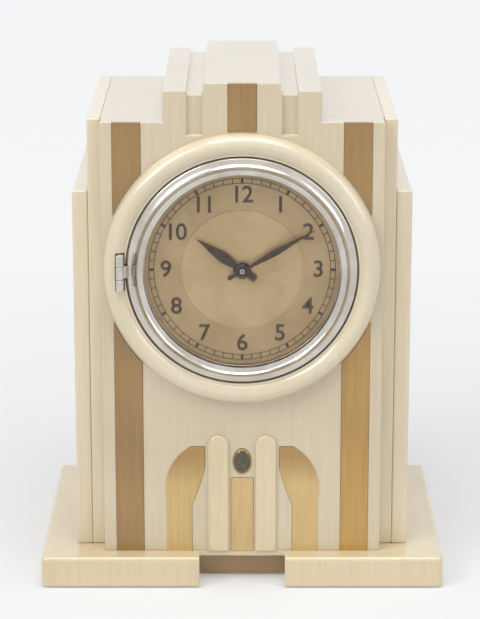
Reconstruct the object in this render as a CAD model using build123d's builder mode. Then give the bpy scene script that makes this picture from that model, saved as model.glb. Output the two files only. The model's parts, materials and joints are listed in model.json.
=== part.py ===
"""Stepped table clock: an ivory case with ochre inlays, a hinged glazed bezel and a spring movement.

Millimetres. +Z is up, -Y is the front, and the origin is under the middle of the plinth.
"""
import os
from math import atan2, cos, degrees, pi, radians, sin, sqrt

from build123d import *

# Case, overall
case_height = 250.0
plinth_width = 198.0
plinth_depth = 143.0
plinth_top = 16.0
pad_stand = 0.8
front_lip = 10.4
back_lip = 4.0
plinth_corner_r = 3.0
plinth_edge_r = 2.0
edge_r = 1.2

# Arch sunk into the front of the plinth
arch_width = 42.0
arch_top = 13.0
arch_depth = 7.0

# Felt pads under the plinth
pad_r = 9.0
pad_thickness = 2.0
pad_inset = 17.0

# Boards of the case
case_set_in = 17.0
panel_thickness = 14.0
side_thickness = 6.4
buttress_thickness = 7.6
buttress_drop = 54.0
side_set_back = 10.0
shoulder_drop = 18.6
roof_thickness = 8.0

# Tower over the shoulders
tower_width = 75.4
tower_flank_drop = 3.6
crown_width = 36.4
groove_inner = 19.0
groove_outer = 26.5
groove_depth = 2.2
groove_reach = 6.4

# Dial, ring and bezel
dial_drop = 90.2
ring_outer_r = 66.5
ring_width = 10.5
ring_proud = 7.0
ring_inner_proud = 4.6
opening_margin = 5.4
dial_margin = 2.5
dial_thickness = 0.8
dial_bore_r = 3.2
dial_foot_r = 1.2
dial_foot_ring_r = 38.0
dial_feet = 3
upright = 90.0
bezel_clearance = 0.5
bezel_width = 8.0
bezel_wall = 1.2
bezel_edge_proud = 4.5
bezel_crest_proud = 8.0
bezel_lip_proud = 6.6
glass_thickness = 1.6
glass_bite = 2.5
glass_rise = 4.0
glass_proud = 5.8
retainer_thickness = 1.4
retainer_width = 3.0

# Inlays
inlay_depth = 2.5
inlay_proud = 0.4
inlay_gap = 0.8
inlay_chamfer = 0.36
strip_width = 13.3
strip_margin = 6.2
top_strip_width = 13.4
leaf_outer = 36.5
leaf_inner = 24.8
leaf_tip_inner = 18.4
leaf_tip_outer = 25.0
leaf_bend_drop = 26.0
leaf_top_drop = 6.0
leaf_outer_bow = 2.6
leaf_inner_bow = 3.6
leaf_tip_drop = 11.0
leaf_bend_lead = 4.0
leaf_inner_rise = 5.6
band_width = 10.8
band_top_drop = 8.6
oval_width = 9.0
oval_height = 13.0
oval_drop = 13.4
oval_proud = 2.0
oval_edge_r = 1.4
pilaster_inner = 6.6
pilaster_outer = 16.8
pilaster_ring_gap = 17.3
pilaster_proud = 1.6
pilaster_edge_r = 0.96

# Back and door
back_thickness = 6.0
door_stile = 16.0
door_bottom = 34.0
door_drop = 44.0
door_gap = 0.6
hinge_pin_r = 1.0
hinge_pin_length = 9.0
finger_hole_r = 8.0
button_length = 24.0
button_width = 9.0
button_thickness = 1.6
button_screw_r = 1.6
button_screw_head_r = 3.0
button_screw_head = 1.2
button_screw_length = 5.0

# Screws that hold the sides down to the plinth
case_screw_r = 1.8
case_screw_head_r = 3.4
case_screw_head = 1.7
case_screw_bite = 16.0
case_screw_y = 34.0

# Bezel hinge
bezel_pin_r = 0.9
bezel_pin_length = 18.0
bezel_knuckle_r = 1.9
bezel_axis_offset = 2.4
bezel_axis_proud = 8.2
bezel_knuckle_length = 6.0
bezel_knuckle_gap = 0.2
bezel_arm_proud = 4.4
hinge_notch_proud = 3.0
hinge_base_thickness = 1.0
hinge_side_gap = 0.5

# Movement frame
plate_size = 84.0
plate_thickness = 2.0
plate_gap = 24.0
plate_corner_r = 4.0
pillar_r = 2.6
pillar_x = 36.4
pillar_z = 30.5
pillar_screw_r = 1.2
pillar_screw_head_r = 2.4
pillar_screw_head = 1.2
screw_head_clearance = 0.2
pillar_screw_bite = 5.0
mount_screw_offset = 38.6
mount_screw_r = 1.3
mount_screw_head_r = 2.6
mount_screw_bite = 9.0

# Wheels and pinions: teeth and modules
barrel_teeth = 60
centre_pinion_teeth = 10
barrel_module = 0.7
centre_teeth = 60
third_pinion_teeth = 8
centre_module = 0.5
third_teeth = 64
fourth_pinion_teeth = 8
third_module = 0.45
fourth_teeth = 60
escape_pinion_teeth = 6
fourth_module = 0.4
cannon_teeth = 12
minute_teeth = 36
minute_pinion_teeth = 10
hour_teeth = 40
cannon_module = 0.5
ratchet_teeth = 24
ratchet_r = 9.0
escape_teeth = 15
escape_r = 6.5

# Directions from one arbor to the next, degrees anticlockwise from the right
barrel_direction = 235.0
third_direction = 20.0
fourth_direction = 100.0
escape_direction = 165.0
pallet_direction = 170.0
balance_direction = 200.0
minute_direction = 215.0
pallet_distance = 8.8
balance_distance = 9.5

# Depths behind the front plate's rear face
centre_wheel_depth = 2.4
third_wheel_depth = 7.6
fourth_wheel_depth = 12.6
escape_wheel_depth = 18.0
balance_depth = 9.8
hairspring_depth = 5.2
barrel_depth = 6.0
barrel_length = 14.0
barrel_wall = 1.0
barrel_drum_r = 18.6
barrel_teeth_width = 2.4
wheel_thickness = 1.2
pinion_length = 3.0

# Motion work in front of the front plate
cannon_front_gap = 1.0
minute_wheel_gap = 1.2
hour_wheel_gap = 3.8
cannon_pipe_r = 1.8
hour_pipe_r = 2.6

# Ratchet and click behind the back plate
ratchet_gap = 0.2
ratchet_thickness = 1.4
click_direction = 300.0
click_length = 8.0
click_hub_r = 2.0
click_arm = 1.6
click_arm_gap = 0.15
click_nose = 0.7
click_screw_r = 0.9
click_screw_head = 0.8

# Mainspring, hairspring and balance
mainspring_turns = 9
mainspring_strip = 0.4
mainspring_inner_r = 5.0
mainspring_margin = 1.0
hairspring_turns = 5
hairspring_strip = 0.2
hairspring_inner_r = 1.6
hairspring_outer_r = 5.6
hairspring_height = 0.6
balance_r = 8.5
balance_rim = 1.2
balance_thickness = 1.4
roller_r = 1.5

# Arbors
arbor_r = 0.75
pivot_r = 0.5
running_clearance = 0.04
end_shake = 0.15
barrel_arbor_r = 2.2
barrel_arbor_square = 2.8
centre_arbor_r = 1.1
centre_pipe_wall = 0.9
centre_hub_r = 4.0
centre_rim = 1.5

# Hands, shown at ten past ten: angles clockwise from twelve
hand_thickness = 0.5
hour_hand_length = 27.0
hour_hand_width = 5.0
minute_hand_length = 40.0
minute_hand_width = 3.6
hand_tail = 8.0
hand_shoulder_share = 0.62
hand_tail_share = 0.3
hand_neck_share = 0.22
hour_hand_proud = 2.2
minute_hand_proud = 3.9
centre_arbor_proud = 5.2
hour_hub_r = 4.2
minute_hub_r = 3.4
hour_hand_angle = 305.0
minute_hand_angle = 60.0

# Key and knob
key_wing = 13.0
key_height = 18.0
key_thickness = 2.0
key_tube_r = 4.0
key_tube_gap = 3.0
key_tube_length = 18.0
key_square_play = 0.2
knob_r = 7.0
knob_gap = 6.0
knob_thickness = 5.0
knob_ribs = 24
knob_rib_r = 0.6

# Places worked out from the sizes above
plinth_front = -plinth_depth / 2
case_front = plinth_front + front_lip
case_back = plinth_depth / 2 - back_lip
side_front = case_front + side_set_back
panel_back = case_front + panel_thickness
buttress_outer = plinth_width / 2 - case_set_in
side_outer = buttress_outer - buttress_thickness
panel_half = side_outer - side_thickness
panel_width = 2 * panel_half
flank_top = case_height - tower_flank_drop
shoulder_top = case_height - shoulder_drop
buttress_top = case_height - buttress_drop
groove_foot = shoulder_top - groove_reach
dial_height = case_height - dial_drop
door_top = case_height - door_drop
strip_outer = panel_half - strip_margin
strip_inner = strip_outer - strip_width
pilaster_top = dial_height - ring_outer_r - pilaster_ring_gap
leaf_top = pilaster_top - leaf_top_drop
leaf_bend = leaf_top - leaf_bend_drop
oval_centre = pilaster_top - oval_drop
band_top = oval_centre - band_top_drop
door_width = panel_width - 2 * door_stile
roof_under = shoulder_top - roof_thickness
back_front = case_back - back_thickness
inlay_seat = case_front + inlay_depth
front_plate_back = panel_back + plate_thickness
back_plate_front = front_plate_back + plate_gap
back_plate_back = back_plate_front + plate_thickness
ring_inner_r = ring_outer_r - ring_width
opening_r = ring_inner_r - opening_margin
dial_r = ring_inner_r - dial_margin
bezel_outer_r = ring_inner_r - bezel_clearance
bezel_inner_r = bezel_outer_r - bezel_width
glass_r = bezel_inner_r + glass_bite
retainer_inner_r = glass_r - retainer_width
bezel_axis_x = ring_inner_r + bezel_axis_offset
bezel_axis_y = case_front - bezel_axis_proud
hinge_notch_left = -bezel_axis_x - bezel_knuckle_r - hinge_side_gap
hinge_notch_width = bezel_axis_x - ring_inner_r + bezel_knuckle_r + hinge_side_gap + bezel_knuckle_r
hinge_notch_length = bezel_pin_length + 2 * hinge_side_gap


def facing(y):
    """Upright plane at depth y that looks to the front: x is right and y is up."""
    return Plane(origin=(0, y, 0), x_dir=(1, 0, 0), z_dir=(0, -1, 0))


def facing_at(y, place):
    """The same plane with its origin on an arbor at place (x, z)."""
    return Plane(origin=(place[0], y, place[1]), x_dir=(1, 0, 0), z_dir=(0, -1, 0))


def facing_along(y, place, direction):
    """The same plane with its x axis turned to a direction in the plane of the plates."""
    angle = radians(direction)
    return Plane(origin=(place[0], y, place[1]), x_dir=(cos(angle), 0, sin(angle)), z_dir=(0, -1, 0))


def beside(place, distance, direction):
    """The point at a distance and direction from place, in the plane of the plates."""
    angle = radians(direction)
    return (place[0] + distance * cos(angle), place[1] + distance * sin(angle))


def long_edges_at(part, corners):
    """Edges from front to back that stand over one of the (x, z) corners, on either side."""
    return [
        e
        for e in part.edges().filter_by(Axis.Y)
        if any(
            abs(abs(e.center().X) - x) < running_clearance and abs(e.center().Z - z) < running_clearance
            for x, z in corners
        )
    ]


def save(part, name):
    """Label one piece and write its file."""
    part.label = name
    export_step(part, f"parts/{name}.step")


def toothed_face(teeth, module, root_share, tip_share, phase):
    """Face of a wheel or pinion with straight flanks, one tooth centred at the phase angle."""
    pitch_r = teeth * module / 2
    root_r = pitch_r - 1.15 * module
    tip_r = pitch_r + 0.85 * module
    step = 360 / teeth
    points = []
    for tooth in range(teeth):
        middle = phase + tooth * step
        for radius, offset in (
            (root_r, -root_share / 2),
            (tip_r, -tip_share / 2),
            (tip_r, tip_share / 2),
            (root_r, root_share / 2),
        ):
            angle = radians(middle + offset * step)
            points.append((radius * cos(angle), radius * sin(angle)))
    with BuildSketch() as face:
        with BuildLine():
            Polyline(*points, close=True)
        make_face()
    return face.sketch


def wheel_face(teeth, module, phase):
    """Face of a driving wheel, whose teeth leave side play in a pinion."""
    return toothed_face(teeth, module, 0.56, 0.2, phase)


def pinion_face(teeth, module, phase):
    """Face of a pinion with a gap, not a leaf, centred at the phase angle."""
    return toothed_face(teeth, module, 0.44, 0.16, phase + 180 / teeth)


def wheel_rim_cut(root_r, rim, hub, spokes=4, arm=1.6):
    """Openings between the spokes of a wheel."""
    with BuildSketch() as gaps:
        Circle(root_r - rim)
        Circle(hub, mode=Mode.SUBTRACT)
        with PolarLocations(0, spokes):
            Rectangle(root_r, arm, align=(Align.MIN, Align.CENTER), mode=Mode.SUBTRACT)
    return gaps.sketch


os.makedirs("parts", exist_ok=True)

# Plinth: a board with a notch in its front lip and a closed arch under the front of the case
with BuildPart() as plinth:
    with BuildSketch(Plane.XY.offset(pad_stand)):
        RectangleRounded(plinth_width, plinth_depth, plinth_corner_r)
    extrude(amount=plinth_top - pad_stand)
    fillet(plinth.faces().sort_by(Axis.Z)[-1].edges(), plinth_edge_r)
    with BuildSketch(Plane.XY):
        with Locations((0, (plinth_front + case_front) / 2)):
            Rectangle(arch_width, front_lip)
    extrude(amount=plinth_top, mode=Mode.SUBTRACT)
    with BuildSketch(facing(case_front + arch_depth)):
        Rectangle(arch_width, arch_top, align=(Align.CENTER, Align.MIN))
    extrude(amount=arch_depth + front_lip, mode=Mode.SUBTRACT)
    with BuildSketch(Plane.XY.offset(pad_stand)):
        with GridLocations(plinth_width - 2 * pad_inset, plinth_depth - 2 * pad_inset, 2, 2):
            Circle(pad_r)
    extrude(amount=pad_thickness - pad_stand, mode=Mode.SUBTRACT)
    with BuildSketch(Plane.XY.offset(pad_stand)):
        with GridLocations(side_outer + panel_half, 2 * case_screw_y, 2, 2):
            Circle(case_screw_r)
    extrude(amount=plinth_top, mode=Mode.SUBTRACT)
    with BuildSketch(Plane.XY.offset(pad_stand)):
        with GridLocations(side_outer + panel_half, 2 * case_screw_y, 2, 2):
            Circle(case_screw_head_r)
    extrude(amount=case_screw_head_r, mode=Mode.SUBTRACT)
save(plinth.part, "plinth")

with BuildPart() as foot_pads:
    with BuildSketch(Plane.XY):
        with GridLocations(plinth_width - 2 * pad_inset, plinth_depth - 2 * pad_inset, 2, 2):
            Circle(pad_r)
    extrude(amount=pad_thickness)
save(foot_pads.part, "foot_pads")


def upper_right_strip():
    """Outline of the right shoulder's inlay, ended by the ring's circle."""
    with BuildSketch() as outline:
        with Locations(((strip_inner + strip_outer) / 2, shoulder_top)):
            Rectangle(strip_outer - strip_inner, shoulder_top - dial_height, align=(Align.CENTER, Align.MAX))
        with Locations((0, dial_height)):
            Circle(ring_outer_r + inlay_gap, mode=Mode.SUBTRACT)
    return outline.sketch


def lower_right_strip():
    """Outline of the long inlay from the plinth up to the ring's circle."""
    with BuildSketch() as outline:
        with Locations(((strip_inner + strip_outer) / 2, plinth_top)):
            Rectangle(strip_outer - strip_inner, dial_height - plinth_top, align=(Align.CENTER, Align.MIN))
        with Locations((0, dial_height)):
            Circle(ring_outer_r + inlay_gap, mode=Mode.SUBTRACT)
    return outline.sketch


def crown_strip():
    """Outline of the middle inlay from the crown down to the ring's circle."""
    with BuildSketch() as outline:
        with Locations((0, case_height)):
            Rectangle(top_strip_width, case_height - dial_height, align=(Align.CENTER, Align.MAX))
        with Locations((0, dial_height)):
            Circle(ring_outer_r + inlay_gap, mode=Mode.SUBTRACT)
    return outline.sketch


def right_leaf():
    """Outline of the leaf that rises from the plinth and bends in towards the oval."""
    with BuildSketch() as outline:
        with BuildLine():
            Line((leaf_inner, plinth_top), (leaf_outer, plinth_top))
            Line((leaf_outer, plinth_top), (leaf_outer, leaf_bend))
            outer_bend = ThreePointArc(
                (leaf_outer, leaf_bend),
                (leaf_outer - leaf_outer_bow, (leaf_bend + leaf_top) / 2 + leaf_bend_lead),
                (leaf_tip_outer, leaf_top),
            )
            Line(outer_bend @ 1, (leaf_tip_inner, leaf_top))
            Line((leaf_tip_inner, leaf_top), (leaf_tip_inner, leaf_top - leaf_tip_drop))
            inner_bend = ThreePointArc(
                (leaf_tip_inner, leaf_top - leaf_tip_drop),
                (leaf_inner - leaf_inner_bow, leaf_bend + leaf_inner_rise),
                (leaf_inner, leaf_bend - leaf_bend_lead),
            )
            Line(inner_bend @ 1, (leaf_inner, plinth_top))
        make_face()
    return outline.sketch


def middle_band():
    """Outline of the band under the oval."""
    with BuildSketch() as outline:
        with Locations((0, plinth_top)):
            Rectangle(band_width, band_top - plinth_top, align=(Align.CENTER, Align.MIN))
    return outline.sketch


def oval():
    """Outline of the oval boss."""
    with BuildSketch() as outline:
        with Locations((0, oval_centre)):
            Ellipse(oval_width / 2, oval_height / 2)
    return outline.sketch


def right_pilaster_outline():
    """Outline of the raised strip between the leaf and the middle band, with a round head."""
    width = pilaster_outer - pilaster_inner
    with BuildSketch() as outline:
        with Locations(((pilaster_inner + pilaster_outer) / 2, plinth_top)):
            Rectangle(width, pilaster_top - width / 2 - plinth_top, align=(Align.CENTER, Align.MIN))
        with Locations(((pilaster_inner + pilaster_outer) / 2, pilaster_top - width / 2)):
            Circle(width / 2)
    return outline.sketch


right_outlines = {
    "upper_right_inlay": upper_right_strip(),
    "lower_right_inlay": lower_right_strip(),
    "right_leaf_inlay": right_leaf(),
}
left_outlines = {
    name.replace("right", "left"): mirror(outline, about=Plane.YZ)
    for name, outline in right_outlines.items()
}
middle_outlines = {"crown_inlay": crown_strip(), "centre_inlay": middle_band()}
inlays = {**right_outlines, **left_outlines, **middle_outlines}

# Front board: stepped head, round opening for the movement and a pocket for each inlay
with BuildPart() as front_panel:
    with BuildSketch(facing(panel_back)):
        with Locations((0, plinth_top)):
            Rectangle(panel_width, shoulder_top - plinth_top, align=(Align.CENTER, Align.MIN))
            Rectangle(tower_width, flank_top - plinth_top, align=(Align.CENTER, Align.MIN))
            Rectangle(crown_width, case_height - plinth_top, align=(Align.CENTER, Align.MIN))
    extrude(amount=panel_thickness)
    head_corners = [(panel_half, shoulder_top), (tower_width / 2, flank_top), (crown_width / 2, case_height)]
    fillet(long_edges_at(front_panel, head_corners), edge_r)
    with BuildSketch(facing(panel_back)):
        with Locations((0, dial_height)):
            Circle(opening_r)
    extrude(amount=panel_thickness, mode=Mode.SUBTRACT)
    with BuildSketch(facing(inlay_seat)):
        add(list(inlays.values()))
        add(oval())
    extrude(amount=inlay_depth, mode=Mode.SUBTRACT)
    with BuildSketch(facing(case_front + groove_depth)):
        with Locations((0, groove_foot)):
            with GridLocations(groove_inner + groove_outer, 1, 2, 1):
                Rectangle(groove_outer - groove_inner, case_height - groove_foot, align=(Align.CENTER, Align.MIN))
        with Locations((0, dial_height)):
            Circle(ring_outer_r, mode=Mode.SUBTRACT)
    extrude(amount=groove_depth, mode=Mode.SUBTRACT)
    with BuildSketch(facing(panel_back)):
        with Locations((0, flank_top)):
            with GridLocations(groove_inner + groove_outer, 1, 2, 1):
                Rectangle(groove_outer - groove_inner, 2 * groove_depth)
    extrude(amount=panel_thickness, mode=Mode.SUBTRACT)
    with BuildSketch(facing(panel_back)):
        with Locations((0, dial_height)):
            with GridLocations(2 * mount_screw_offset, 2 * mount_screw_offset, 2, 2):
                Circle(mount_screw_r)
    extrude(amount=mount_screw_bite - plate_thickness, mode=Mode.SUBTRACT)
    with BuildSketch(facing(panel_back)):
        with Locations((0, dial_height)):
            with GridLocations(2 * pillar_x, 2 * pillar_z, 2, 2):
                Circle(pillar_screw_head_r + screw_head_clearance)
    extrude(amount=pillar_screw_head + screw_head_clearance, mode=Mode.SUBTRACT)
save(front_panel.part, "front_panel")

for inlay_name, inlay_outline in inlays.items():
    with BuildPart() as inlay:
        with BuildSketch(facing(inlay_seat)):
            add(inlay_outline)
        extrude(amount=inlay_depth + inlay_proud)
        chamfer(inlay.faces().sort_by(Axis.Y)[0].edges(), inlay_chamfer)
    save(inlay.part, inlay_name)

with BuildPart() as oval_boss:
    with BuildSketch(facing(inlay_seat)):
        add(oval())
    extrude(amount=inlay_depth + oval_proud)
    fillet(oval_boss.faces().sort_by(Axis.Y)[0].edges(), oval_edge_r)
save(oval_boss.part, "oval_boss")

for side_sign, side_name in ((1, "right"), (-1, "left")):
    with BuildPart() as pilaster:
        with BuildSketch(facing(case_front)):
            strip = right_pilaster_outline()
            add(strip if side_sign == 1 else mirror(strip, about=Plane.YZ))
        extrude(amount=pilaster_proud)
        fillet(pilaster.faces().sort_by(Axis.Y)[0].edges(), pilaster_edge_r)
    save(pilaster.part, f"{side_name}_pilaster")

    with BuildPart() as side_board:
        with BuildSketch(Plane.XY.offset(plinth_top)):
            with Locations((side_sign * (panel_half + side_outer) / 2, (side_front + case_back) / 2)):
                Rectangle(side_thickness, case_back - side_front)
        extrude(amount=shoulder_top - plinth_top)
        outer_top = side_board.edges().filter_by(Axis.Y).group_by(Axis.Z)[-1]
        fillet(outer_top.sort_by(Axis.X)[-1 if side_sign == 1 else 0], edge_r)
        with BuildSketch(Plane.XY.offset(plinth_top)):
            with Locations((side_sign * (panel_half + side_outer) / 2, 0)):
                with GridLocations(1, 2 * case_screw_y, 1, 2):
                    Circle(case_screw_r)
        extrude(amount=case_screw_bite, mode=Mode.SUBTRACT)
    save(side_board.part, f"{side_name}_side")

    with BuildPart() as buttress:
        with BuildSketch(Plane.XY.offset(plinth_top)):
            with Locations((side_sign * (side_outer + buttress_outer) / 2, (side_front + case_back) / 2)):
                Rectangle(buttress_thickness, case_back - side_front)
        extrude(amount=buttress_top - plinth_top)
        outer_top = buttress.edges().filter_by(Axis.Y).group_by(Axis.Z)[-1]
        fillet(outer_top.sort_by(Axis.X)[-1 if side_sign == 1 else 0], edge_r)
    save(buttress.part, f"{side_name}_buttress")

with BuildPart() as case_screws:
    head_plane = Plane.XY.offset(pad_stand + case_screw_head_r - case_screw_head)
    with BuildSketch(head_plane):
        with GridLocations(side_outer + panel_half, 2 * case_screw_y, 2, 2):
            Circle(case_screw_head_r)
    extrude(amount=case_screw_head)
    with BuildSketch(Plane.XY.offset(pad_stand + case_screw_head_r)):
        with GridLocations(side_outer + panel_half, 2 * case_screw_y, 2, 2):
            Circle(case_screw_r)
    extrude(amount=plinth_top - pad_stand - case_screw_head_r + case_screw_bite)
save(case_screws.part, "case_screws")

with BuildPart() as roof_board:
    with BuildSketch(Plane.XY.offset(roof_under)):
        with Locations((0, (panel_back + case_back) / 2)):
            Rectangle(panel_width, case_back - panel_back)
    extrude(amount=roof_thickness)
save(roof_board.part, "roof_board")

with BuildPart() as tower_block:
    with BuildSketch(facing(case_back)):
        with Locations((0, shoulder_top)):
            Rectangle(tower_width, flank_top - shoulder_top, align=(Align.CENTER, Align.MIN))
            Rectangle(crown_width, case_height - shoulder_top, align=(Align.CENTER, Align.MIN))
    extrude(amount=case_back - panel_back)
    fillet(long_edges_at(tower_block, [(tower_width / 2, flank_top), (crown_width / 2, case_height)]), edge_r)
    with BuildSketch(facing(case_back)):
        with Locations((0, flank_top)):
            with GridLocations(groove_inner + groove_outer, 1, 2, 1):
                Rectangle(groove_outer - groove_inner, 2 * groove_depth)
    extrude(amount=case_back - panel_back, mode=Mode.SUBTRACT)
save(tower_block.part, "tower_block")

# Ring moulding round the bezel, turned about the dial's axis
with BuildPart() as dial_ring:
    with BuildSketch(Plane.YZ):
        with BuildLine():
            inner_wall = Line((case_front, dial_height + ring_inner_r),
                              (case_front - ring_inner_proud, dial_height + ring_inner_r))
            crest = ThreePointArc(
                inner_wall @ 1,
                (case_front - ring_proud, dial_height + ring_inner_r * 0.45 + ring_outer_r * 0.55),
                (case_front - ring_proud * 0.35, dial_height + ring_outer_r),
            )
            outer_wall = Line(crest @ 1, (case_front, dial_height + ring_outer_r))
            Line(outer_wall @ 1, inner_wall @ 0)
        make_face()
    revolve(axis=Axis((0, 0, dial_height), (0, 1, 0)))
    with BuildSketch(Plane.XY.offset(dial_height - hinge_notch_length / 2)):
        with Locations((hinge_notch_left, case_front - hinge_notch_proud)):
            Rectangle(hinge_notch_width, ring_proud, align=(Align.MIN, Align.MAX))
    extrude(amount=hinge_notch_length, mode=Mode.SUBTRACT)
save(dial_ring.part, "dial_ring")

# Back frame with the door's opening
door_half = door_width / 2
door_axis_x = -door_half + door_gap + back_thickness / 2
door_axis_y = (back_front + case_back) / 2
button_x = (door_half + panel_half) / 2
button_z = (door_bottom + door_top) / 2

with BuildPart() as back_frame:
    with BuildSketch(facing(case_back)):
        with Locations((0, plinth_top)):
            Rectangle(panel_width, roof_under - plinth_top, align=(Align.CENTER, Align.MIN))
        with Locations((0, door_bottom)):
            Rectangle(door_width, door_top - door_bottom, align=(Align.CENTER, Align.MIN), mode=Mode.SUBTRACT)
    extrude(amount=back_thickness)
    with BuildSketch(Plane.XY.offset(door_bottom - hinge_pin_length / 2)):
        with Locations((door_axis_x, door_axis_y)):
            Circle(hinge_pin_r)
    extrude(amount=door_top - door_bottom + hinge_pin_length, mode=Mode.SUBTRACT)
    with BuildSketch(facing(case_back)):
        with Locations((button_x, button_z)):
            Circle(button_screw_r)
    extrude(amount=button_screw_length, mode=Mode.SUBTRACT)
save(back_frame.part, "back_frame")

with BuildPart() as rear_door:
    with BuildSketch(Plane.XY.offset(door_bottom + door_gap)):
        with Locations((door_axis_x, door_axis_y)):
            Circle(back_thickness / 2)
            Rectangle(door_half - door_gap - door_axis_x, back_thickness, align=(Align.MIN, Align.CENTER))
    extrude(amount=door_top - door_bottom - 2 * door_gap)
    with BuildSketch(Plane.XY.offset(door_bottom)):
        with Locations((door_axis_x, door_axis_y)):
            Circle(hinge_pin_r + running_clearance)
    extrude(amount=hinge_pin_length / 2 + 2 * door_gap, mode=Mode.SUBTRACT)
    with BuildSketch(Plane.XY.offset(door_top)):
        with Locations((door_axis_x, door_axis_y)):
            Circle(hinge_pin_r + running_clearance)
    extrude(amount=-hinge_pin_length / 2 - 2 * door_gap, mode=Mode.SUBTRACT)
    with BuildSketch(facing(case_back)):
        with Locations((door_half - 2 * finger_hole_r, button_z)):
            Circle(finger_hole_r)
    extrude(amount=back_thickness / 2, mode=Mode.SUBTRACT)
save(rear_door.part, "rear_door")

with BuildPart() as door_hinge_pins:
    for pin_middle in (door_bottom, door_top):
        with BuildSketch(Plane.XY.offset(pin_middle - hinge_pin_length / 2)):
            with Locations((door_axis_x, door_axis_y)):
                Circle(hinge_pin_r)
        extrude(amount=hinge_pin_length)
save(door_hinge_pins.part, "door_hinge_pins")

with BuildPart() as turn_button:
    with BuildSketch(facing(case_back + running_clearance + button_thickness)):
        with Locations((button_x, button_z)):
            SlotOverall(button_length, button_width, rotation=90)
            Circle(button_screw_r + running_clearance, mode=Mode.SUBTRACT)
    extrude(amount=button_thickness)
save(turn_button.part, "turn_button")

with BuildPart() as turn_button_screw:
    with BuildSketch(facing(case_back + button_thickness + 2 * running_clearance)):
        with Locations((button_x, button_z)):
            Circle(button_screw_r)
    extrude(amount=button_screw_length + button_thickness + 2 * running_clearance)
    with BuildSketch(facing(case_back + button_thickness + 2 * running_clearance + button_screw_head)):
        with Locations((button_x, button_z)):
            Circle(button_screw_head_r)
    extrude(amount=button_screw_head)
save(turn_button_screw.part, "turn_button_screw")

# Bezel, glass and the ring that holds the glass in, all turned about the dial's axis
dial_axis = Axis((0, 0, dial_height), (0, 1, 0))


def turned(proud, radius):
    """A point of a turned profile: how far in front of the case and how far from the dial's axis."""
    return (case_front - proud, dial_height + radius)


glass_back = glass_proud - glass_thickness
seat_front = glass_back - retainer_thickness

with BuildPart() as bezel:
    with BuildSketch(Plane.YZ):
        with BuildLine():
            Polyline(
                turned(bezel_lip_proud, bezel_inner_r),
                turned(glass_proud, bezel_inner_r),
                turned(glass_proud, glass_r),
                turned(seat_front, glass_r),
                turned(seat_front, glass_r + bezel_wall),
                turned(glass_proud, glass_r + bezel_wall),
                turned(bezel_edge_proud, bezel_outer_r - bezel_wall),
                turned(dial_thickness / 2, bezel_outer_r - bezel_wall),
                turned(dial_thickness / 2, bezel_outer_r),
                turned(bezel_edge_proud, bezel_outer_r),
            )
            ThreePointArc(
                turned(bezel_edge_proud, bezel_outer_r),
                turned(bezel_crest_proud - 0.6, bezel_outer_r - 2.0),
                turned(bezel_crest_proud, glass_r + 0.8),
            )
            ThreePointArc(
                turned(bezel_crest_proud, glass_r + 0.8),
                turned(bezel_crest_proud - 0.3, glass_r - 1.0),
                turned(bezel_lip_proud, bezel_inner_r),
            )
        make_face()
    revolve(axis=dial_axis)
    with BuildSketch(Plane.XY.offset(dial_height - bezel_knuckle_length / 2)):
        with Locations((-bezel_axis_x, bezel_axis_y)):
            Circle(bezel_knuckle_r)
        with BuildLine():
            Polyline(
                (-bezel_axis_x - bezel_knuckle_r, bezel_axis_y),
                (-bezel_axis_x - bezel_knuckle_r / 2, case_front - bezel_arm_proud),
                (-bezel_outer_r + bezel_wall / 2, case_front - bezel_arm_proud),
                (-bezel_outer_r + bezel_wall / 2, case_front - bezel_arm_proud - bezel_wall),
                (-bezel_axis_x + bezel_knuckle_r, bezel_axis_y),
                close=True,
            )
        make_face()
    extrude(amount=bezel_knuckle_length)
    with BuildSketch(Plane.XY.offset(dial_height - bezel_knuckle_length / 2)):
        with Locations((-bezel_axis_x, bezel_axis_y)):
            Circle(bezel_pin_r + running_clearance)
    extrude(amount=bezel_knuckle_length, mode=Mode.SUBTRACT)
save(bezel.part, "bezel")


def dome_arc(base_proud, rim_r):
    """Arc of a spherical dome from its rim to its top on the dial's axis."""
    sphere_r = (rim_r**2 + glass_rise**2) / (2 * glass_rise)
    half_height = sqrt(sphere_r**2 - (rim_r / 2) ** 2) - (sphere_r - glass_rise)
    return ThreePointArc(
        turned(base_proud, rim_r),
        turned(base_proud + half_height, rim_r / 2),
        turned(base_proud + glass_rise, 0),
    )


with BuildPart() as glass:
    dome_rim_r = bezel_inner_r - bezel_clearance
    with BuildSketch(Plane.YZ):
        with BuildLine():
            outer_dome = dome_arc(glass_proud, dome_rim_r)
            inner_dome = dome_arc(glass_back, dome_rim_r - glass_thickness)
            Line(outer_dome @ 1, inner_dome @ 1)
            Polyline(inner_dome @ 0, turned(glass_back, glass_r), turned(glass_proud, glass_r), outer_dome @ 0)
        make_face()
    revolve(axis=dial_axis)
save(glass.part, "glass")

with BuildPart() as glass_retainer:
    with BuildSketch(facing(case_front - seat_front)):
        with Locations((0, dial_height)):
            Circle(glass_r)
            Circle(retainer_inner_r, mode=Mode.SUBTRACT)
    extrude(amount=retainer_thickness)
save(glass_retainer.part, "glass_retainer")

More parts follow.
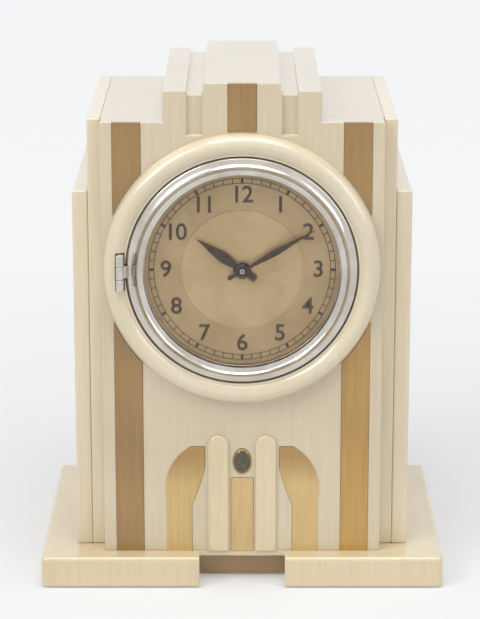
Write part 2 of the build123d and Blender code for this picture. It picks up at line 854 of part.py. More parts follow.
with BuildPart() as bezel_hinge:
    base_back = case_front - hinge_notch_proud
    with BuildSketch(Plane.XY.offset(dial_height - bezel_pin_length / 2)):
        with Locations((-bezel_axis_x, base_back)):
            Rectangle(2 * bezel_knuckle_r, hinge_base_thickness, align=(Align.CENTER, Align.MAX))
    extrude(amount=bezel_pin_length)
    knuckle_start = bezel_knuckle_length / 2 + bezel_knuckle_gap
    for start in (-bezel_pin_length / 2, knuckle_start):
        with BuildSketch(Plane.XY.offset(dial_height + start)):
            with Locations((-bezel_axis_x, bezel_axis_y)):
                Circle(bezel_knuckle_r)
                Rectangle(
                    2 * bezel_knuckle_r,
                    bezel_axis_proud - hinge_notch_proud,
                    align=(Align.CENTER, Align.MIN),
                )
        extrude(amount=bezel_pin_length / 2 - knuckle_start)
    with BuildSketch(Plane.XY.offset(dial_height - bezel_pin_length / 2)):
        with Locations((-bezel_axis_x, bezel_axis_y)):
            Circle(bezel_pin_r)
    extrude(amount=bezel_pin_length, mode=Mode.SUBTRACT)
save(bezel_hinge.part, "bezel_hinge")

with BuildPart() as bezel_hinge_pin:
    with BuildSketch(Plane.XY.offset(dial_height - bezel_pin_length / 2)):
        with Locations((-bezel_axis_x, bezel_axis_y)):
            Circle(bezel_pin_r)
    extrude(amount=bezel_pin_length)
save(bezel_hinge_pin.part, "bezel_hinge_pin")

# Places of the arbors
centre = (0.0, dial_height)
barrel_place = beside(centre, (barrel_teeth + centre_pinion_teeth) * barrel_module / 2, barrel_direction)
third_place = beside(centre, (centre_teeth + third_pinion_teeth) * centre_module / 2, third_direction)
fourth_place = beside(third_place, (third_teeth + fourth_pinion_teeth) * third_module / 2, fourth_direction)
escape_place = beside(fourth_place, (fourth_teeth + escape_pinion_teeth) * fourth_module / 2, escape_direction)
pallet_place = beside(escape_place, pallet_distance, pallet_direction)
balance_place = beside(pallet_place, balance_distance, balance_direction)
motion_distance = (cannon_teeth + minute_teeth) * cannon_module / 2
minute_place = beside(centre, motion_distance, minute_direction)
hour_module = 2 * motion_distance / (minute_pinion_teeth + hour_teeth)
click_place = beside(barrel_place, sqrt(ratchet_r**2 + click_length**2), click_direction)
nose_direction = click_direction - degrees(atan2(click_length, ratchet_r))

with BuildPart() as dial:
    with BuildSketch(facing(case_front)):
        with Locations((0, dial_height)):
            Circle(dial_r)
            Circle(dial_bore_r, mode=Mode.SUBTRACT)
    extrude(amount=dial_thickness)
    with BuildSketch(facing(front_plate_back)):
        with Locations((0, dial_height)):
            with PolarLocations(dial_foot_ring_r, dial_feet, start_angle=upright):
                Circle(dial_foot_r)
    extrude(amount=front_plate_back - case_front)
save(dial.part, "dial")


def hand_outline(length, width, hub_r, bore_r, angle):
    """Outline of a tapered hand with a tail, pointing at angle clockwise from twelve."""
    with BuildSketch() as outline:
        with BuildLine():
            Polyline(
                (-width * hand_tail_share, -hand_tail),
                (-width * hand_neck_share, 0),
                (-width / 2, length * hand_shoulder_share),
                (0, length),
                (width / 2, length * hand_shoulder_share),
                (width * hand_neck_share, 0),
                (width * hand_tail_share, -hand_tail),
                close=True,
            )
        make_face()
        Circle(hub_r)
        Circle(bore_r, mode=Mode.SUBTRACT)
    return outline.sketch.rotate(Axis.Z, -angle)


hour_outline = hand_outline(hour_hand_length, hour_hand_width, hour_hub_r, hour_pipe_r, hour_hand_angle)
minute_outline = hand_outline(
    minute_hand_length, minute_hand_width, minute_hub_r, cannon_pipe_r, minute_hand_angle
)

with BuildPart() as hour_hand:
    with BuildSketch(facing_at(case_front - hour_hand_proud, centre)):
        add(hour_outline)
    extrude(amount=hand_thickness)
save(hour_hand.part, "hour_hand")

with BuildPart() as minute_hand:
    with BuildSketch(facing_at(case_front - minute_hand_proud, centre)):
        add(minute_outline)
    extrude(amount=hand_thickness)
save(minute_hand.part, "minute_hand")


def plate_sketch(holes):
    """Sketch of a movement plate with its (place, radius) holes."""
    with BuildSketch() as outline:
        with Locations(centre):
            RectangleRounded(plate_size, plate_size, plate_corner_r)
            with GridLocations(2 * pillar_x, 2 * pillar_z, 2, 2):
                Circle(pillar_screw_r, mode=Mode.SUBTRACT)
        for place, radius in holes:
            with Locations(place):
                Circle(radius, mode=Mode.SUBTRACT)
    return outline.sketch


pivot_holes = [
    (place, pivot_r + running_clearance)
    for place in (third_place, fourth_place, escape_place, pallet_place, balance_place)
]
shared_holes = pivot_holes + [
    (centre, centre_arbor_r + running_clearance),
    (barrel_place, barrel_arbor_r + running_clearance),
]
corner_holes = [
    ((mount_screw_offset * x, dial_height + mount_screw_offset * z), mount_screw_r)
    for x in (-1, 1)
    for z in (-1, 1)
]
foot_holes = [
    (beside(centre, dial_foot_ring_r, upright + 360 * foot / dial_feet), dial_foot_r) for foot in range(dial_feet)
]
front_sketch = plate_sketch(
    shared_holes + corner_holes + foot_holes + [(minute_place, pivot_r + running_clearance)]
)
back_sketch = plate_sketch(shared_holes + [(click_place, click_screw_r)])

with BuildPart() as front_plate:
    with BuildSketch(facing(front_plate_back)):
        add(front_sketch)
    extrude(amount=plate_thickness)
save(front_plate.part, "front_plate")

with BuildPart() as back_plate:
    with BuildSketch(facing(back_plate_back)):
        add(back_sketch)
    extrude(amount=plate_thickness)
save(back_plate.part, "back_plate")

with BuildPart() as pillars:
    with BuildSketch(facing(back_plate_front)):
        with Locations(centre):
            with GridLocations(2 * pillar_x, 2 * pillar_z, 2, 2):
                Circle(pillar_r)
    extrude(amount=plate_gap)
    for end in (front_plate_back + pillar_screw_bite, back_plate_front):
        with BuildSketch(facing(end)):
            with Locations(centre):
                with GridLocations(2 * pillar_x, 2 * pillar_z, 2, 2):
                    Circle(pillar_screw_r)
        extrude(amount=pillar_screw_bite, mode=Mode.SUBTRACT)
save(pillars.part, "pillars")

with BuildPart() as pillar_screws:
    shank = plate_thickness + pillar_screw_bite
    for shank_back, head_back in (
        (front_plate_back + pillar_screw_bite, panel_back),
        (back_plate_back, back_plate_back + pillar_screw_head),
    ):
        with BuildSketch(facing(shank_back)):
            with Locations(centre):
                with GridLocations(2 * pillar_x, 2 * pillar_z, 2, 2):
                    Circle(pillar_screw_r)
        extrude(amount=shank)
        with BuildSketch(facing(head_back)):
            with Locations(centre):
                with GridLocations(2 * pillar_x, 2 * pillar_z, 2, 2):
                    Circle(pillar_screw_head_r)
        extrude(amount=pillar_screw_head)
save(pillar_screws.part, "pillar_screws")

with BuildPart() as movement_screws:
    with BuildSketch(facing(front_plate_back)):
        with Locations(centre):
            with GridLocations(2 * mount_screw_offset, 2 * mount_screw_offset, 2, 2):
                Circle(mount_screw_r)
    extrude(amount=mount_screw_bite)
    with BuildSketch(facing(front_plate_back + pillar_screw_head)):
        with Locations(centre):
            with GridLocations(2 * mount_screw_offset, 2 * mount_screw_offset, 2, 2):
                Circle(mount_screw_head_r)
    extrude(amount=pillar_screw_head)
save(movement_screws.part, "movement_screws")


def depth(behind):
    """World depth of a place given behind the front plate's rear face."""
    return front_plate_back + behind


def ahead(gap):
    """World depth of a place given ahead of the front plate's front face."""
    return panel_back - gap


def direction_of(start, end):
    """Direction from one arbor to another, degrees anticlockwise from the right."""
    return degrees(atan2(end[1] - start[1], end[0] - start[0]))


# Barrel with its cover, mainspring, arbor, ratchet and click
barrel_phase = direction_of(barrel_place, centre)
barrel_back = barrel_depth + barrel_length
barrel_teeth_face = wheel_face(barrel_teeth, barrel_module, barrel_phase)
barrel_bore_r = barrel_arbor_r + running_clearance

with BuildPart() as barrel:
    with BuildSketch(facing_at(depth(barrel_back), barrel_place)):
        add(barrel_teeth_face)
    extrude(amount=barrel_teeth_width)
    with BuildSketch(facing_at(depth(barrel_back), barrel_place)):
        Circle(barrel_drum_r)
    extrude(amount=barrel_length)
    with BuildSketch(facing_at(depth(barrel_back - barrel_wall), barrel_place)):
        Circle(barrel_drum_r - barrel_wall)
    extrude(amount=barrel_length, mode=Mode.SUBTRACT)
    with BuildSketch(facing_at(depth(barrel_back), barrel_place)):
        Circle(barrel_bore_r)
    extrude(amount=barrel_length, mode=Mode.SUBTRACT)
save(barrel.part, "barrel")

with BuildPart() as barrel_cover:
    with BuildSketch(facing_at(depth(barrel_depth + barrel_wall), barrel_place)):
        Circle(barrel_drum_r - barrel_wall)
        Circle(barrel_bore_r, mode=Mode.SUBTRACT)
    extrude(amount=barrel_wall)
save(barrel_cover.part, "barrel_cover")


def spiral_strip(inner_r, outer_r, turns, strip):
    """Face of a flat spiral strip, whose radius grows steadily with the turn."""
    steps = 24 * turns

    def along(offset):
        rise = (outer_r - inner_r) / steps
        return [
            (
                (inner_r + offset + rise * i) * cos(2 * pi * turns * i / steps),
                (inner_r + offset + rise * i) * sin(2 * pi * turns * i / steps),
            )
            for i in range(steps + 1)
        ]

    with BuildSketch() as face:
        with BuildLine():
            Polyline(*along(0), *reversed(along(strip)), close=True)
        make_face()
    return face.sketch


mainspring_outer_r = barrel_drum_r - barrel_wall - mainspring_margin
mainspring_face = spiral_strip(mainspring_inner_r, mainspring_outer_r, mainspring_turns, mainspring_strip)
with BuildPart() as mainspring:
    with BuildSketch(facing_at(depth(barrel_back - barrel_wall - mainspring_margin), barrel_place)):
        add(mainspring_face)
    extrude(amount=barrel_length - 2 * barrel_wall - 2 * mainspring_margin)
save(mainspring.part, "mainspring")

ratchet_front = back_plate_back + ratchet_gap
ratchet_back = ratchet_front + ratchet_thickness
key_front = back_plate_back + key_tube_gap
square_end = key_front + key_tube_length - key_thickness
square_hole = barrel_arbor_square + key_square_play

with BuildPart() as barrel_arbor:
    with BuildSketch(facing_at(ratchet_front, barrel_place)):
        Circle(barrel_arbor_r)
    extrude(amount=ratchet_front - panel_back)
    with BuildSketch(facing_at(square_end, barrel_place)):
        Rectangle(barrel_arbor_square, barrel_arbor_square)
    extrude(amount=square_end - ratchet_front)
save(barrel_arbor.part, "barrel_arbor")

ratchet_module = 2 * ratchet_r / (ratchet_teeth + 1.7)
ratchet_face = toothed_face(ratchet_teeth, ratchet_module, 0.6, 0.1, nose_direction + 180 / ratchet_teeth)
with BuildPart() as ratchet_wheel:
    with BuildSketch(facing_at(ratchet_back, barrel_place)):
        add(ratchet_face)
        Rectangle(barrel_arbor_square, barrel_arbor_square, mode=Mode.SUBTRACT)
    extrude(amount=ratchet_thickness)
save(ratchet_wheel.part, "ratchet_wheel")

# The click lies along a tangent of the ratchet, so its nose lifts straight out of a gap
nose_place = beside(barrel_place, ratchet_r, nose_direction)
click_plane = facing_along(ratchet_back, click_place, direction_of(click_place, nose_place))
with BuildPart() as click:
    with BuildSketch(click_plane):
        Circle(click_hub_r)
        with BuildLine():
            Polyline(
                (0, click_arm_gap),
                (click_length - click_nose, click_arm_gap),
                (click_length - click_arm_gap, -click_nose),
                (click_length + click_arm_gap, -click_nose),
                (click_length + click_nose, click_arm_gap),
                (click_length, click_arm),
                (0, click_hub_r),
                close=True,
            )
        make_face()
        Circle(click_screw_r + running_clearance, mode=Mode.SUBTRACT)
    extrude(amount=ratchet_thickness)
save(click.part, "click")

with BuildPart() as click_screw:
    with BuildSketch(facing_at(ratchet_back + running_clearance, click_place)):
        Circle(click_screw_r)
    extrude(amount=plate_thickness + ratchet_gap + ratchet_thickness + running_clearance)
    with BuildSketch(facing_at(ratchet_back + running_clearance + click_screw_head, click_place)):
        Circle(2 * click_screw_r)
    extrude(amount=click_screw_head)
save(click_screw.part, "click_screw")

with BuildPart() as winding_key:
    with BuildSketch(facing_at(key_front + key_tube_length, barrel_place)):
        Circle(key_tube_r)
        Rectangle(square_hole, square_hole, mode=Mode.SUBTRACT)
    extrude(amount=key_tube_length)
    with BuildSketch(facing_at(key_front + key_tube_length, barrel_place)):
        Circle(key_tube_r)
    extrude(amount=key_thickness)
    with BuildSketch(Plane(origin=(barrel_place[0], key_front + key_tube_length - key_thickness / 2,
                                   barrel_place[1] - key_thickness / 2))):
        with GridLocations(key_wing, 1, 2, 1):
            Ellipse(key_wing / 2, key_height / 2)
    extrude(amount=key_thickness)
    with BuildSketch(facing_at(square_end, barrel_place)):
        Rectangle(square_hole, square_hole)
    extrude(amount=key_tube_length, mode=Mode.SUBTRACT)
save(winding_key.part, "winding_key")

# Centre arbor with the parts that turn with the minute hand
centre_end = back_plate_back + knob_gap + knob_thickness
with BuildPart() as centre_arbor:
    with BuildSketch(facing_at(centre_end, centre)):
        Circle(centre_arbor_r)
    extrude(amount=centre_end - case_front + centre_arbor_proud)
save(centre_arbor.part, "centre_arbor")

with BuildPart() as setting_knob:
    with BuildSketch(facing_at(centre_end, centre)):
        Circle(knob_r)
        with PolarLocations(knob_r, knob_ribs):
            Circle(knob_rib_r)
        Circle(centre_arbor_r, mode=Mode.SUBTRACT)
    extrude(amount=knob_thickness)
save(setting_knob.part, "setting_knob")

cannon_face = pinion_face(cannon_teeth, cannon_module, minute_direction)
cannon_back = ahead(cannon_front_gap)
cannon_front = case_front - minute_hand_proud - hand_thickness
with BuildPart() as cannon_pinion:
    with BuildSketch(facing_at(cannon_back, centre)):
        add(cannon_face)
        Circle(centre_arbor_r, mode=Mode.SUBTRACT)
    extrude(amount=pinion_length / 2)
    with BuildSketch(facing_at(cannon_back, centre)):
        Circle(cannon_pipe_r)
        Circle(centre_arbor_r, mode=Mode.SUBTRACT)
    extrude(amount=cannon_back - cannon_front)
save(cannon_pinion.part, "cannon_pinion")

minute_phase = direction_of(minute_place, centre)
minute_face = wheel_face(minute_teeth, cannon_module, minute_phase)
minute_pinion_face = pinion_face(minute_pinion_teeth, hour_module, minute_phase)
minute_wheel_back = ahead(minute_wheel_gap)
with BuildPart() as minute_wheel:
    with BuildSketch(facing_at(minute_wheel_back, minute_place)):
        add(minute_face)
    extrude(amount=wheel_thickness)
    with BuildSketch(facing_at(minute_wheel_back, minute_place)):
        add(minute_pinion_face)
    extrude(amount=hour_wheel_gap - minute_wheel_gap + 2 * wheel_thickness)
    with BuildSketch(facing_at(front_plate_back, minute_place)):
        Circle(pivot_r)
    extrude(amount=plate_thickness + minute_wheel_gap)
save(minute_wheel.part, "minute_wheel")

hour_face = wheel_face(hour_teeth, hour_module, minute_direction)
hour_wheel_back = ahead(hour_wheel_gap)
with BuildPart() as hour_wheel:
    with BuildSketch(facing_at(hour_wheel_back, centre)):
        add(hour_face)
    extrude(amount=wheel_thickness)
    with BuildSketch(facing_at(hour_wheel_back, centre)):
        Circle(hour_pipe_r)
    extrude(amount=hour_wheel_back - case_front + hour_hand_proud + hand_thickness)
    with BuildSketch(facing_at(hour_wheel_back, centre)):
        Circle(cannon_pipe_r + running_clearance)
    extrude(amount=hour_wheel_back - case_front + hour_hand_proud + hand_thickness, mode=Mode.SUBTRACT)
save(hour_wheel.part, "hour_wheel")

# Centre wheel: its pipe and pinion slip on the centre arbor by friction
centre_wheel_face = wheel_face(centre_teeth, centre_module, third_direction)
centre_pinion_face = pinion_face(centre_pinion_teeth, barrel_module, barrel_direction)
centre_gaps = wheel_rim_cut(centre_teeth * centre_module / 2 - 2 * centre_module, centre_rim, centre_hub_r)
centre_pipe_end = barrel_back + 2 * end_shake
with BuildPart() as centre_wheel:
    with BuildSketch(facing_at(depth(centre_wheel_depth + wheel_thickness), centre)):
        add(centre_wheel_face)
        add(centre_gaps, mode=Mode.SUBTRACT)
    extrude(amount=wheel_thickness)
    with BuildSketch(facing_at(depth(centre_pipe_end), centre)):
        add(centre_pinion_face)
    extrude(amount=pinion_length)
    with BuildSketch(facing_at(depth(centre_pipe_end), centre)):
        Circle(centre_arbor_r + centre_pipe_wall)
    extrude(amount=centre_pipe_end - end_shake)
    with BuildSketch(facing_at(depth(centre_pipe_end), centre)):
        Circle(centre_arbor_r + running_clearance)
    extrude(amount=plate_gap, mode=Mode.SUBTRACT)
save(centre_wheel.part, "centre_wheel")


def train_arbor(place, wheel, wheel_at, gaps, pinion, pinion_at, name):
    """An arbor between the plates that carries one wheel and one pinion."""
    with BuildPart() as arbor:
        with BuildSketch(facing_at(back_plate_back, place)):
            Circle(pivot_r)
        extrude(amount=back_plate_back - panel_back)
        with BuildSketch(facing_at(back_plate_front - end_shake, place)):
            Circle(arbor_r)
        extrude(amount=plate_gap - 2 * end_shake)
        with BuildSketch(facing_at(depth(wheel_at + wheel_thickness), place)):
            add(wheel)
            add(gaps, mode=Mode.SUBTRACT)
        extrude(amount=wheel_thickness)
        with BuildSketch(facing_at(depth(pinion_at + pinion_length), place)):
            add(pinion)
        extrude(amount=pinion_length)
    save(arbor.part, name)


pinion_lead = (pinion_length - wheel_thickness) / 2
train_arbor(
    third_place,
    wheel_face(third_teeth, third_module, direction_of(third_place, fourth_place)),
    third_wheel_depth,
    wheel_rim_cut(third_teeth * third_module / 2 - 2 * third_module, 1.4, 2.6),
    pinion_face(third_pinion_teeth, centre_module, direction_of(third_place, centre)),
    centre_wheel_depth - pinion_lead,
    "third_wheel",
)
train_arbor(
    fourth_place,
    wheel_face(fourth_teeth, fourth_module, direction_of(fourth_place, escape_place)),
    fourth_wheel_depth,
    wheel_rim_cut(fourth_teeth * fourth_module / 2 - 2 * fourth_module, 1.2, 2.4),
    pinion_face(fourth_pinion_teeth, third_module, direction_of(fourth_place, third_place)),
    third_wheel_depth - pinion_lead,
    "fourth_wheel",
)
escape_module = 2 * escape_r / (escape_teeth + 1.7)
train_arbor(
    escape_place,
    toothed_face(escape_teeth, escape_module, 0.6, 0.12, 0),
    escape_wheel_depth,
    wheel_rim_cut(escape_r - 2.2 * escape_module, 0.8, 1.8, arm=1.0),
    pinion_face(escape_pinion_teeth, fourth_module, direction_of(escape_place, fourth_place)),
    fourth_wheel_depth - pinion_lead,
    "escape_wheel",
)

# Pallet lever: two pallets clear of the escape wheel's tips and a fork towards the balance
pallet_reach = 7.9
pallet_spread = 35.0
pallet_arm = 1.0
fork_length = 6.6
fork_width = 1.6
fork_slot = 0.8
lever_back = depth(escape_wheel_depth + wheel_thickness)
pallet_ends = [
    beside(escape_place, pallet_reach, pallet_direction + sign * pallet_spread) for sign in (-1, 1)
]
with BuildPart() as pallet_lever:
    with BuildSketch(facing(lever_back)):
        with Locations(pallet_place):
            Circle(1.6 * arbor_r)
        for pallet_end in pallet_ends:
            arm_length = sqrt((pallet_end[0] - pallet_place[0]) ** 2 + (pallet_end[1] - pallet_place[1]) ** 2)
            with Locations(pallet_place):
                Rectangle(
                    arm_length,
                    pallet_arm,
                    rotation=direction_of(pallet_place, pallet_end),
                    align=(Align.MIN, Align.CENTER),
                )
        with Locations(pallet_place):
            Rectangle(fork_length, fork_width, rotation=balance_direction, align=(Align.MIN, Align.CENTER))
        with Locations(beside(pallet_place, fork_length, balance_direction)):
            Rectangle(2 * fork_slot, fork_slot, rotation=balance_direction, mode=Mode.SUBTRACT)
    extrude(amount=wheel_thickness)
    with BuildSketch(facing_at(back_plate_back, pallet_place)):
        Circle(pivot_r)
    extrude(amount=back_plate_back - panel_back)
save(pallet_lever.part, "pallet_lever")

with BuildPart() as balance_wheel:
    with BuildSketch(facing_at(depth(balance_depth + balance_thickness), balance_place)):
        Circle(balance_r)
        Circle(balance_r - balance_rim, mode=Mode.SUBTRACT)
        Rectangle(2 * balance_r - balance_rim, balance_rim)
        Circle(2 * arbor_r)
    extrude(amount=balance_thickness)
    with BuildSketch(facing_at(back_plate_back, balance_place)):
        Circle(pivot_r)
    extrude(amount=back_plate_back - panel_back)
    with BuildSketch(facing_at(back_plate_front - end_shake, balance_place)):
        Circle(arbor_r)
    extrude(amount=plate_gap - 2 * end_shake)
    with BuildSketch(facing_at(lever_back, balance_place)):
        Circle(roller_r)
    extrude(amount=wheel_thickness)
save(balance_wheel.part, "balance_wheel")

hairspring_face = spiral_strip(hairspring_inner_r, hairspring_outer_r, hairspring_turns, hairspring_strip)
with BuildPart() as hairspring:
    with BuildSketch(facing_at(depth(hairspring_depth + hairspring_height), balance_place)):
        add(hairspring_face)
    extrude(amount=hairspring_height)
save(hairspring.part, "hairspring")
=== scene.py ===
"""Looks of the stepped table clock: eased ivory boards, ochre inlays, a turned bezel and a copper dial.

Metres in the clock's own frame: +Z is up, -Y is the front.
"""

import json
from math import atan2, cos, hypot, pi, radians, sin, sqrt

import bpy
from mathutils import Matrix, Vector

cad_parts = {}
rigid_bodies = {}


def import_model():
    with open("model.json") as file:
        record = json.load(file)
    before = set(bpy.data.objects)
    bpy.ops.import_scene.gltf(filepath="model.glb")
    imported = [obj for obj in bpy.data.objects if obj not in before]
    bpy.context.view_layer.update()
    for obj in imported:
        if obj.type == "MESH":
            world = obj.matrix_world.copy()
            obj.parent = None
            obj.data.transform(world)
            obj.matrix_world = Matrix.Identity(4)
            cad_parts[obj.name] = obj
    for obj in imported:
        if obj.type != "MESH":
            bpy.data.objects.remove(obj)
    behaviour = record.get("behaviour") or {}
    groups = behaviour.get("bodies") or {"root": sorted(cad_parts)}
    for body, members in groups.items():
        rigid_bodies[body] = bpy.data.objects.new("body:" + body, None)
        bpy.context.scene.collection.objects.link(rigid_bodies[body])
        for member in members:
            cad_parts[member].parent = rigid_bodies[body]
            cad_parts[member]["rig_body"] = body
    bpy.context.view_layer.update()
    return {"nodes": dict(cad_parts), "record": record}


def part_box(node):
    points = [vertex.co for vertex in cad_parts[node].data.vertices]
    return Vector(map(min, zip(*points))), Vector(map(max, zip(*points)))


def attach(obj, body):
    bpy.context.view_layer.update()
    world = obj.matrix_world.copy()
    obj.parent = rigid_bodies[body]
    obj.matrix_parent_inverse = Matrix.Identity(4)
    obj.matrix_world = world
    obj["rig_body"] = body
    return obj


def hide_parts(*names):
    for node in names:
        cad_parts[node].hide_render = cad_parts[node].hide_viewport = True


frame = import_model()
cad = frame["nodes"]
bpy.ops.object.select_all(action="DESELECT")

mm = 0.001
case_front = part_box("front_panel")[0].y
ring_low, ring_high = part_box("dial_ring")
dial_z = (ring_low.z + ring_high.z) / 2
ring_outer = (ring_high.x - ring_low.x) / 2 / mm


def alone(piece):
    """Select one piece and make it the active one."""
    bpy.ops.object.select_all(action="DESELECT")
    piece.select_set(True)
    bpy.context.view_layer.objects.active = piece


def settle(piece):
    """Put the piece's place and turn into its mesh."""
    alone(piece)
    bpy.ops.object.transform_apply(location=True, rotation=True, scale=True)


def shape(piece, kind, **settings):
    """Finish a piece with one modifier and apply it."""
    alone(piece)
    modifier = piece.modifiers.new(kind.title(), kind)
    for setting, value in settings.items():
        setattr(modifier, setting, value)
    bpy.ops.object.modifier_apply(modifier=modifier.name)


def ease(piece, width, segments=3, sharp=40):
    """Round every edge sharper than an angle, then shade the piece smooth between its edges."""
    shape(
        piece,
        "BEVEL",
        width=width * mm,
        segments=segments,
        limit_method="ANGLE",
        angle_limit=radians(sharp),
        use_clamp_overlap=False,
    )
    polish(piece, 60)


def polish(piece, angle=35):
    """Smooth shading that keeps the flat faces flat."""
    alone(piece)
    bpy.ops.object.shade_smooth_by_angle(angle=radians(angle))
    shape(piece, "WEIGHTED_NORMAL", keep_sharp=True, weight=90)


def dress(piece, finish, body, *instead_of):
    """Give a piece its finish, fasten it to a body and let it take the place of CAD nodes."""
    piece.data.materials.clear()
    piece.data.materials.append(finish)
    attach(piece, body)
    if instead_of:
        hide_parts(*instead_of)


def tidy_mesh(piece):
    """Close the seams of a piece and point its faces outwards."""
    alone(piece)
    bpy.ops.object.mode_set(mode="EDIT")
    bpy.ops.mesh.select_all(action="SELECT")
    bpy.ops.mesh.remove_doubles(threshold=0.002 * mm)
    bpy.ops.mesh.normals_make_consistent(inside=False)
    bpy.ops.object.mode_set(mode="OBJECT")


def from_solid(node):
    """A copy of a solid with its triangles joined into whole faces, ready for its edges to be eased."""
    piece = bpy.data.objects.new(node + "_made", cad[node].data.copy())
    bpy.context.scene.collection.objects.link(piece)
    alone(piece)
    bpy.ops.object.mode_set(mode="EDIT")
    bpy.ops.mesh.select_all(action="SELECT")
    bpy.ops.mesh.customdata_custom_splitnormals_clear()
    bpy.ops.mesh.remove_doubles(threshold=0.002 * mm)
    bpy.ops.mesh.dissolve_limited(angle_limit=radians(0.5))
    bpy.ops.object.mode_set(mode="OBJECT")
    return piece


def eased_board(node, width, finish):
    """A board or fitting with rounded edges in place of its solid."""
    piece = from_solid(node)
    ease(piece, width)
    dress(piece, finish, cad[node]["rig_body"], node)
    return piece


def loop_of(name, places, filled):
    """A closed loop of points in the mesh of a new piece, with or without a face in it."""
    bpy.ops.mesh.primitive_circle_add(
        vertices=len(places), radius=mm, fill_type="NGON" if filled else "NOTHING"
    )
    piece = bpy.context.object
    piece.name = name
    settle(piece)
    for vertex, place in zip(piece.data.vertices, places):
        vertex.co = place
    return piece


def turned(name, profile, steps=160):
    """A ring or disc spun about the dial's axis from a section of (proud, radius) points in mm."""
    places = [(0, case_front - proud * mm, dial_z + radius * mm) for proud, radius in profile]
    piece = loop_of(name, places, filled=False)
    alone(piece)
    bpy.ops.object.mode_set(mode="EDIT")
    bpy.ops.mesh.select_all(action="SELECT")
    bpy.ops.mesh.spin(steps=steps, angle=2 * pi, center=(0, 0, dial_z), axis=(0, 1, 0))
    bpy.ops.object.mode_set(mode="OBJECT")
    tidy_mesh(piece)
    return piece


def cut_out(name, outline, back, thickness, middle=(0, 0)):
    """A flat piece cut to an outline of (x, z) points in mm, standing in front of the case."""
    places = [
        ((x + middle[0]) * mm, case_front - back * mm, (z + middle[1]) * mm) for x, z in outline
    ]
    piece = loop_of(name, places, filled=True)
    alone(piece)
    bpy.ops.object.mode_set(mode="EDIT")
    bpy.ops.mesh.select_all(action="SELECT")
    bpy.ops.mesh.extrude_region_move(TRANSFORM_OT_translate={"value": (0, -thickness * mm, 0)})
    bpy.ops.object.mode_set(mode="OBJECT")
    tidy_mesh(piece)
    return piece


def pick_faces(piece, wanted):
    """Select the faces whose middle and normal pass a test."""
    alone(piece)
    bpy.ops.object.mode_set(mode="EDIT")
    bpy.ops.mesh.select_mode(type="FACE")
    bpy.ops.mesh.select_all(action="DESELECT")
    bpy.ops.object.mode_set(mode="OBJECT")
    for face in piece.data.polygons:
        face.select = wanted(face.center, face.normal)
    bpy.ops.object.mode_set(mode="EDIT")


def sink_field(piece, border, sink):
    """Leave a raised border round the front face of a flat piece."""
    pick_faces(piece, lambda middle, normal: normal.y < -0.9)
    bpy.ops.mesh.inset(thickness=border * mm, depth=0)
    bpy.ops.mesh.inset(thickness=sink * 1.3 * mm, depth=0)
    bpy.ops.transform.translate(value=(0, sink * mm, 0))
    bpy.ops.object.mode_set(mode="OBJECT")


def join(pieces, name):
    """Join pieces into the first one."""
    bpy.ops.object.select_all(action="DESELECT")
    for piece in pieces:
        piece.select_set(True)
    bpy.context.view_layer.objects.active = pieces[0]
    bpy.ops.object.join()
    pieces[0].name = name
    return pieces[0]


def bow(start, end, rise, count):
    """Points from start to end on a curve that rises to one side of the straight line."""
    across = (end[0] - start[0], end[1] - start[1])
    length = hypot(*across)
    side = (-across[1] / length, across[0] / length)
    points = []
    for step in range(count + 1):
        share = step / count
        lift = 4 * rise * share * (1 - share)
        x = start[0] + across[0] * share + side[0] * lift
        z = start[1] + across[1] * share + side[1] * lift
        points.append((x, z))
    return points


def arc_through(start, middle, end, count):
    """Points on the circle through three points, from the first to the last."""
    (ax, az), (bx, bz), (cx, cz) = start, middle, end
    scale = 2 * (ax * (bz - cz) + bx * (cz - az) + cx * (az - bz))
    a, b, c = ax**2 + az**2, bx**2 + bz**2, cx**2 + cz**2
    x = (a * (bz - cz) + b * (cz - az) + c * (az - bz)) / scale
    z = (a * (cx - bx) + b * (ax - cx) + c * (bx - ax)) / scale
    radius = hypot(ax - x, az - z)
    first, last = atan2(az - z, ax - x), atan2(cz - z, cx - x)
    turn = (last - first + pi) % (2 * pi) - pi
    angles = [first + turn * step / count for step in range(count + 1)]
    return [(x + radius * cos(angle), z + radius * sin(angle)) for angle in angles]


# Heights between which a leaf turns to its deeper head
leaf_head_heights = (50 * mm, 64 * mm)


def new_finish(name, **constants):
    """A new material and its shader, with constants such as Coat_Weight set on the sockets."""
    finish = bpy.data.materials.new(name)
    finish.use_nodes = True
    shader = finish.node_tree.nodes["Principled BSDF"]
    for socket, value in constants.items():
        shader.inputs[socket.replace("_", " ")].default_value = value
    return finish, shader


def add_node(finish, kind, **settings):
    """A shader node with some of its settings."""
    node = finish.node_tree.nodes.new(kind)
    for setting, value in settings.items():
        setattr(node, setting, value)
    return node


def on_piece(finish, move=(0, 0, 0), turn=(0, 0, 0), stretch=(1, 1, 1)):
    """Coordinates on the piece itself, moved, turned and stretched."""
    coordinates = add_node(finish, "ShaderNodeTexCoord")
    mapping = add_node(finish, "ShaderNodeMapping")
    mapping.inputs["Location"].default_value = move
    mapping.inputs["Rotation"].default_value = turn
    mapping.inputs["Scale"].default_value = stretch
    finish.node_tree.links.new(coordinates.outputs["Object"], mapping.inputs["Vector"])
    return mapping.outputs["Vector"]


def cloud(finish, place, scale, detail=3.0, distortion=0.0):
    """A soft noise pattern, from 0 to 1."""
    noise = add_node(finish, "ShaderNodeTexNoise")
    noise.inputs["Scale"].default_value = scale
    noise.inputs["Detail"].default_value = detail
    noise.inputs["Distortion"].default_value = distortion
    finish.node_tree.links.new(place, noise.inputs["Vector"])
    return noise.outputs["Fac"]


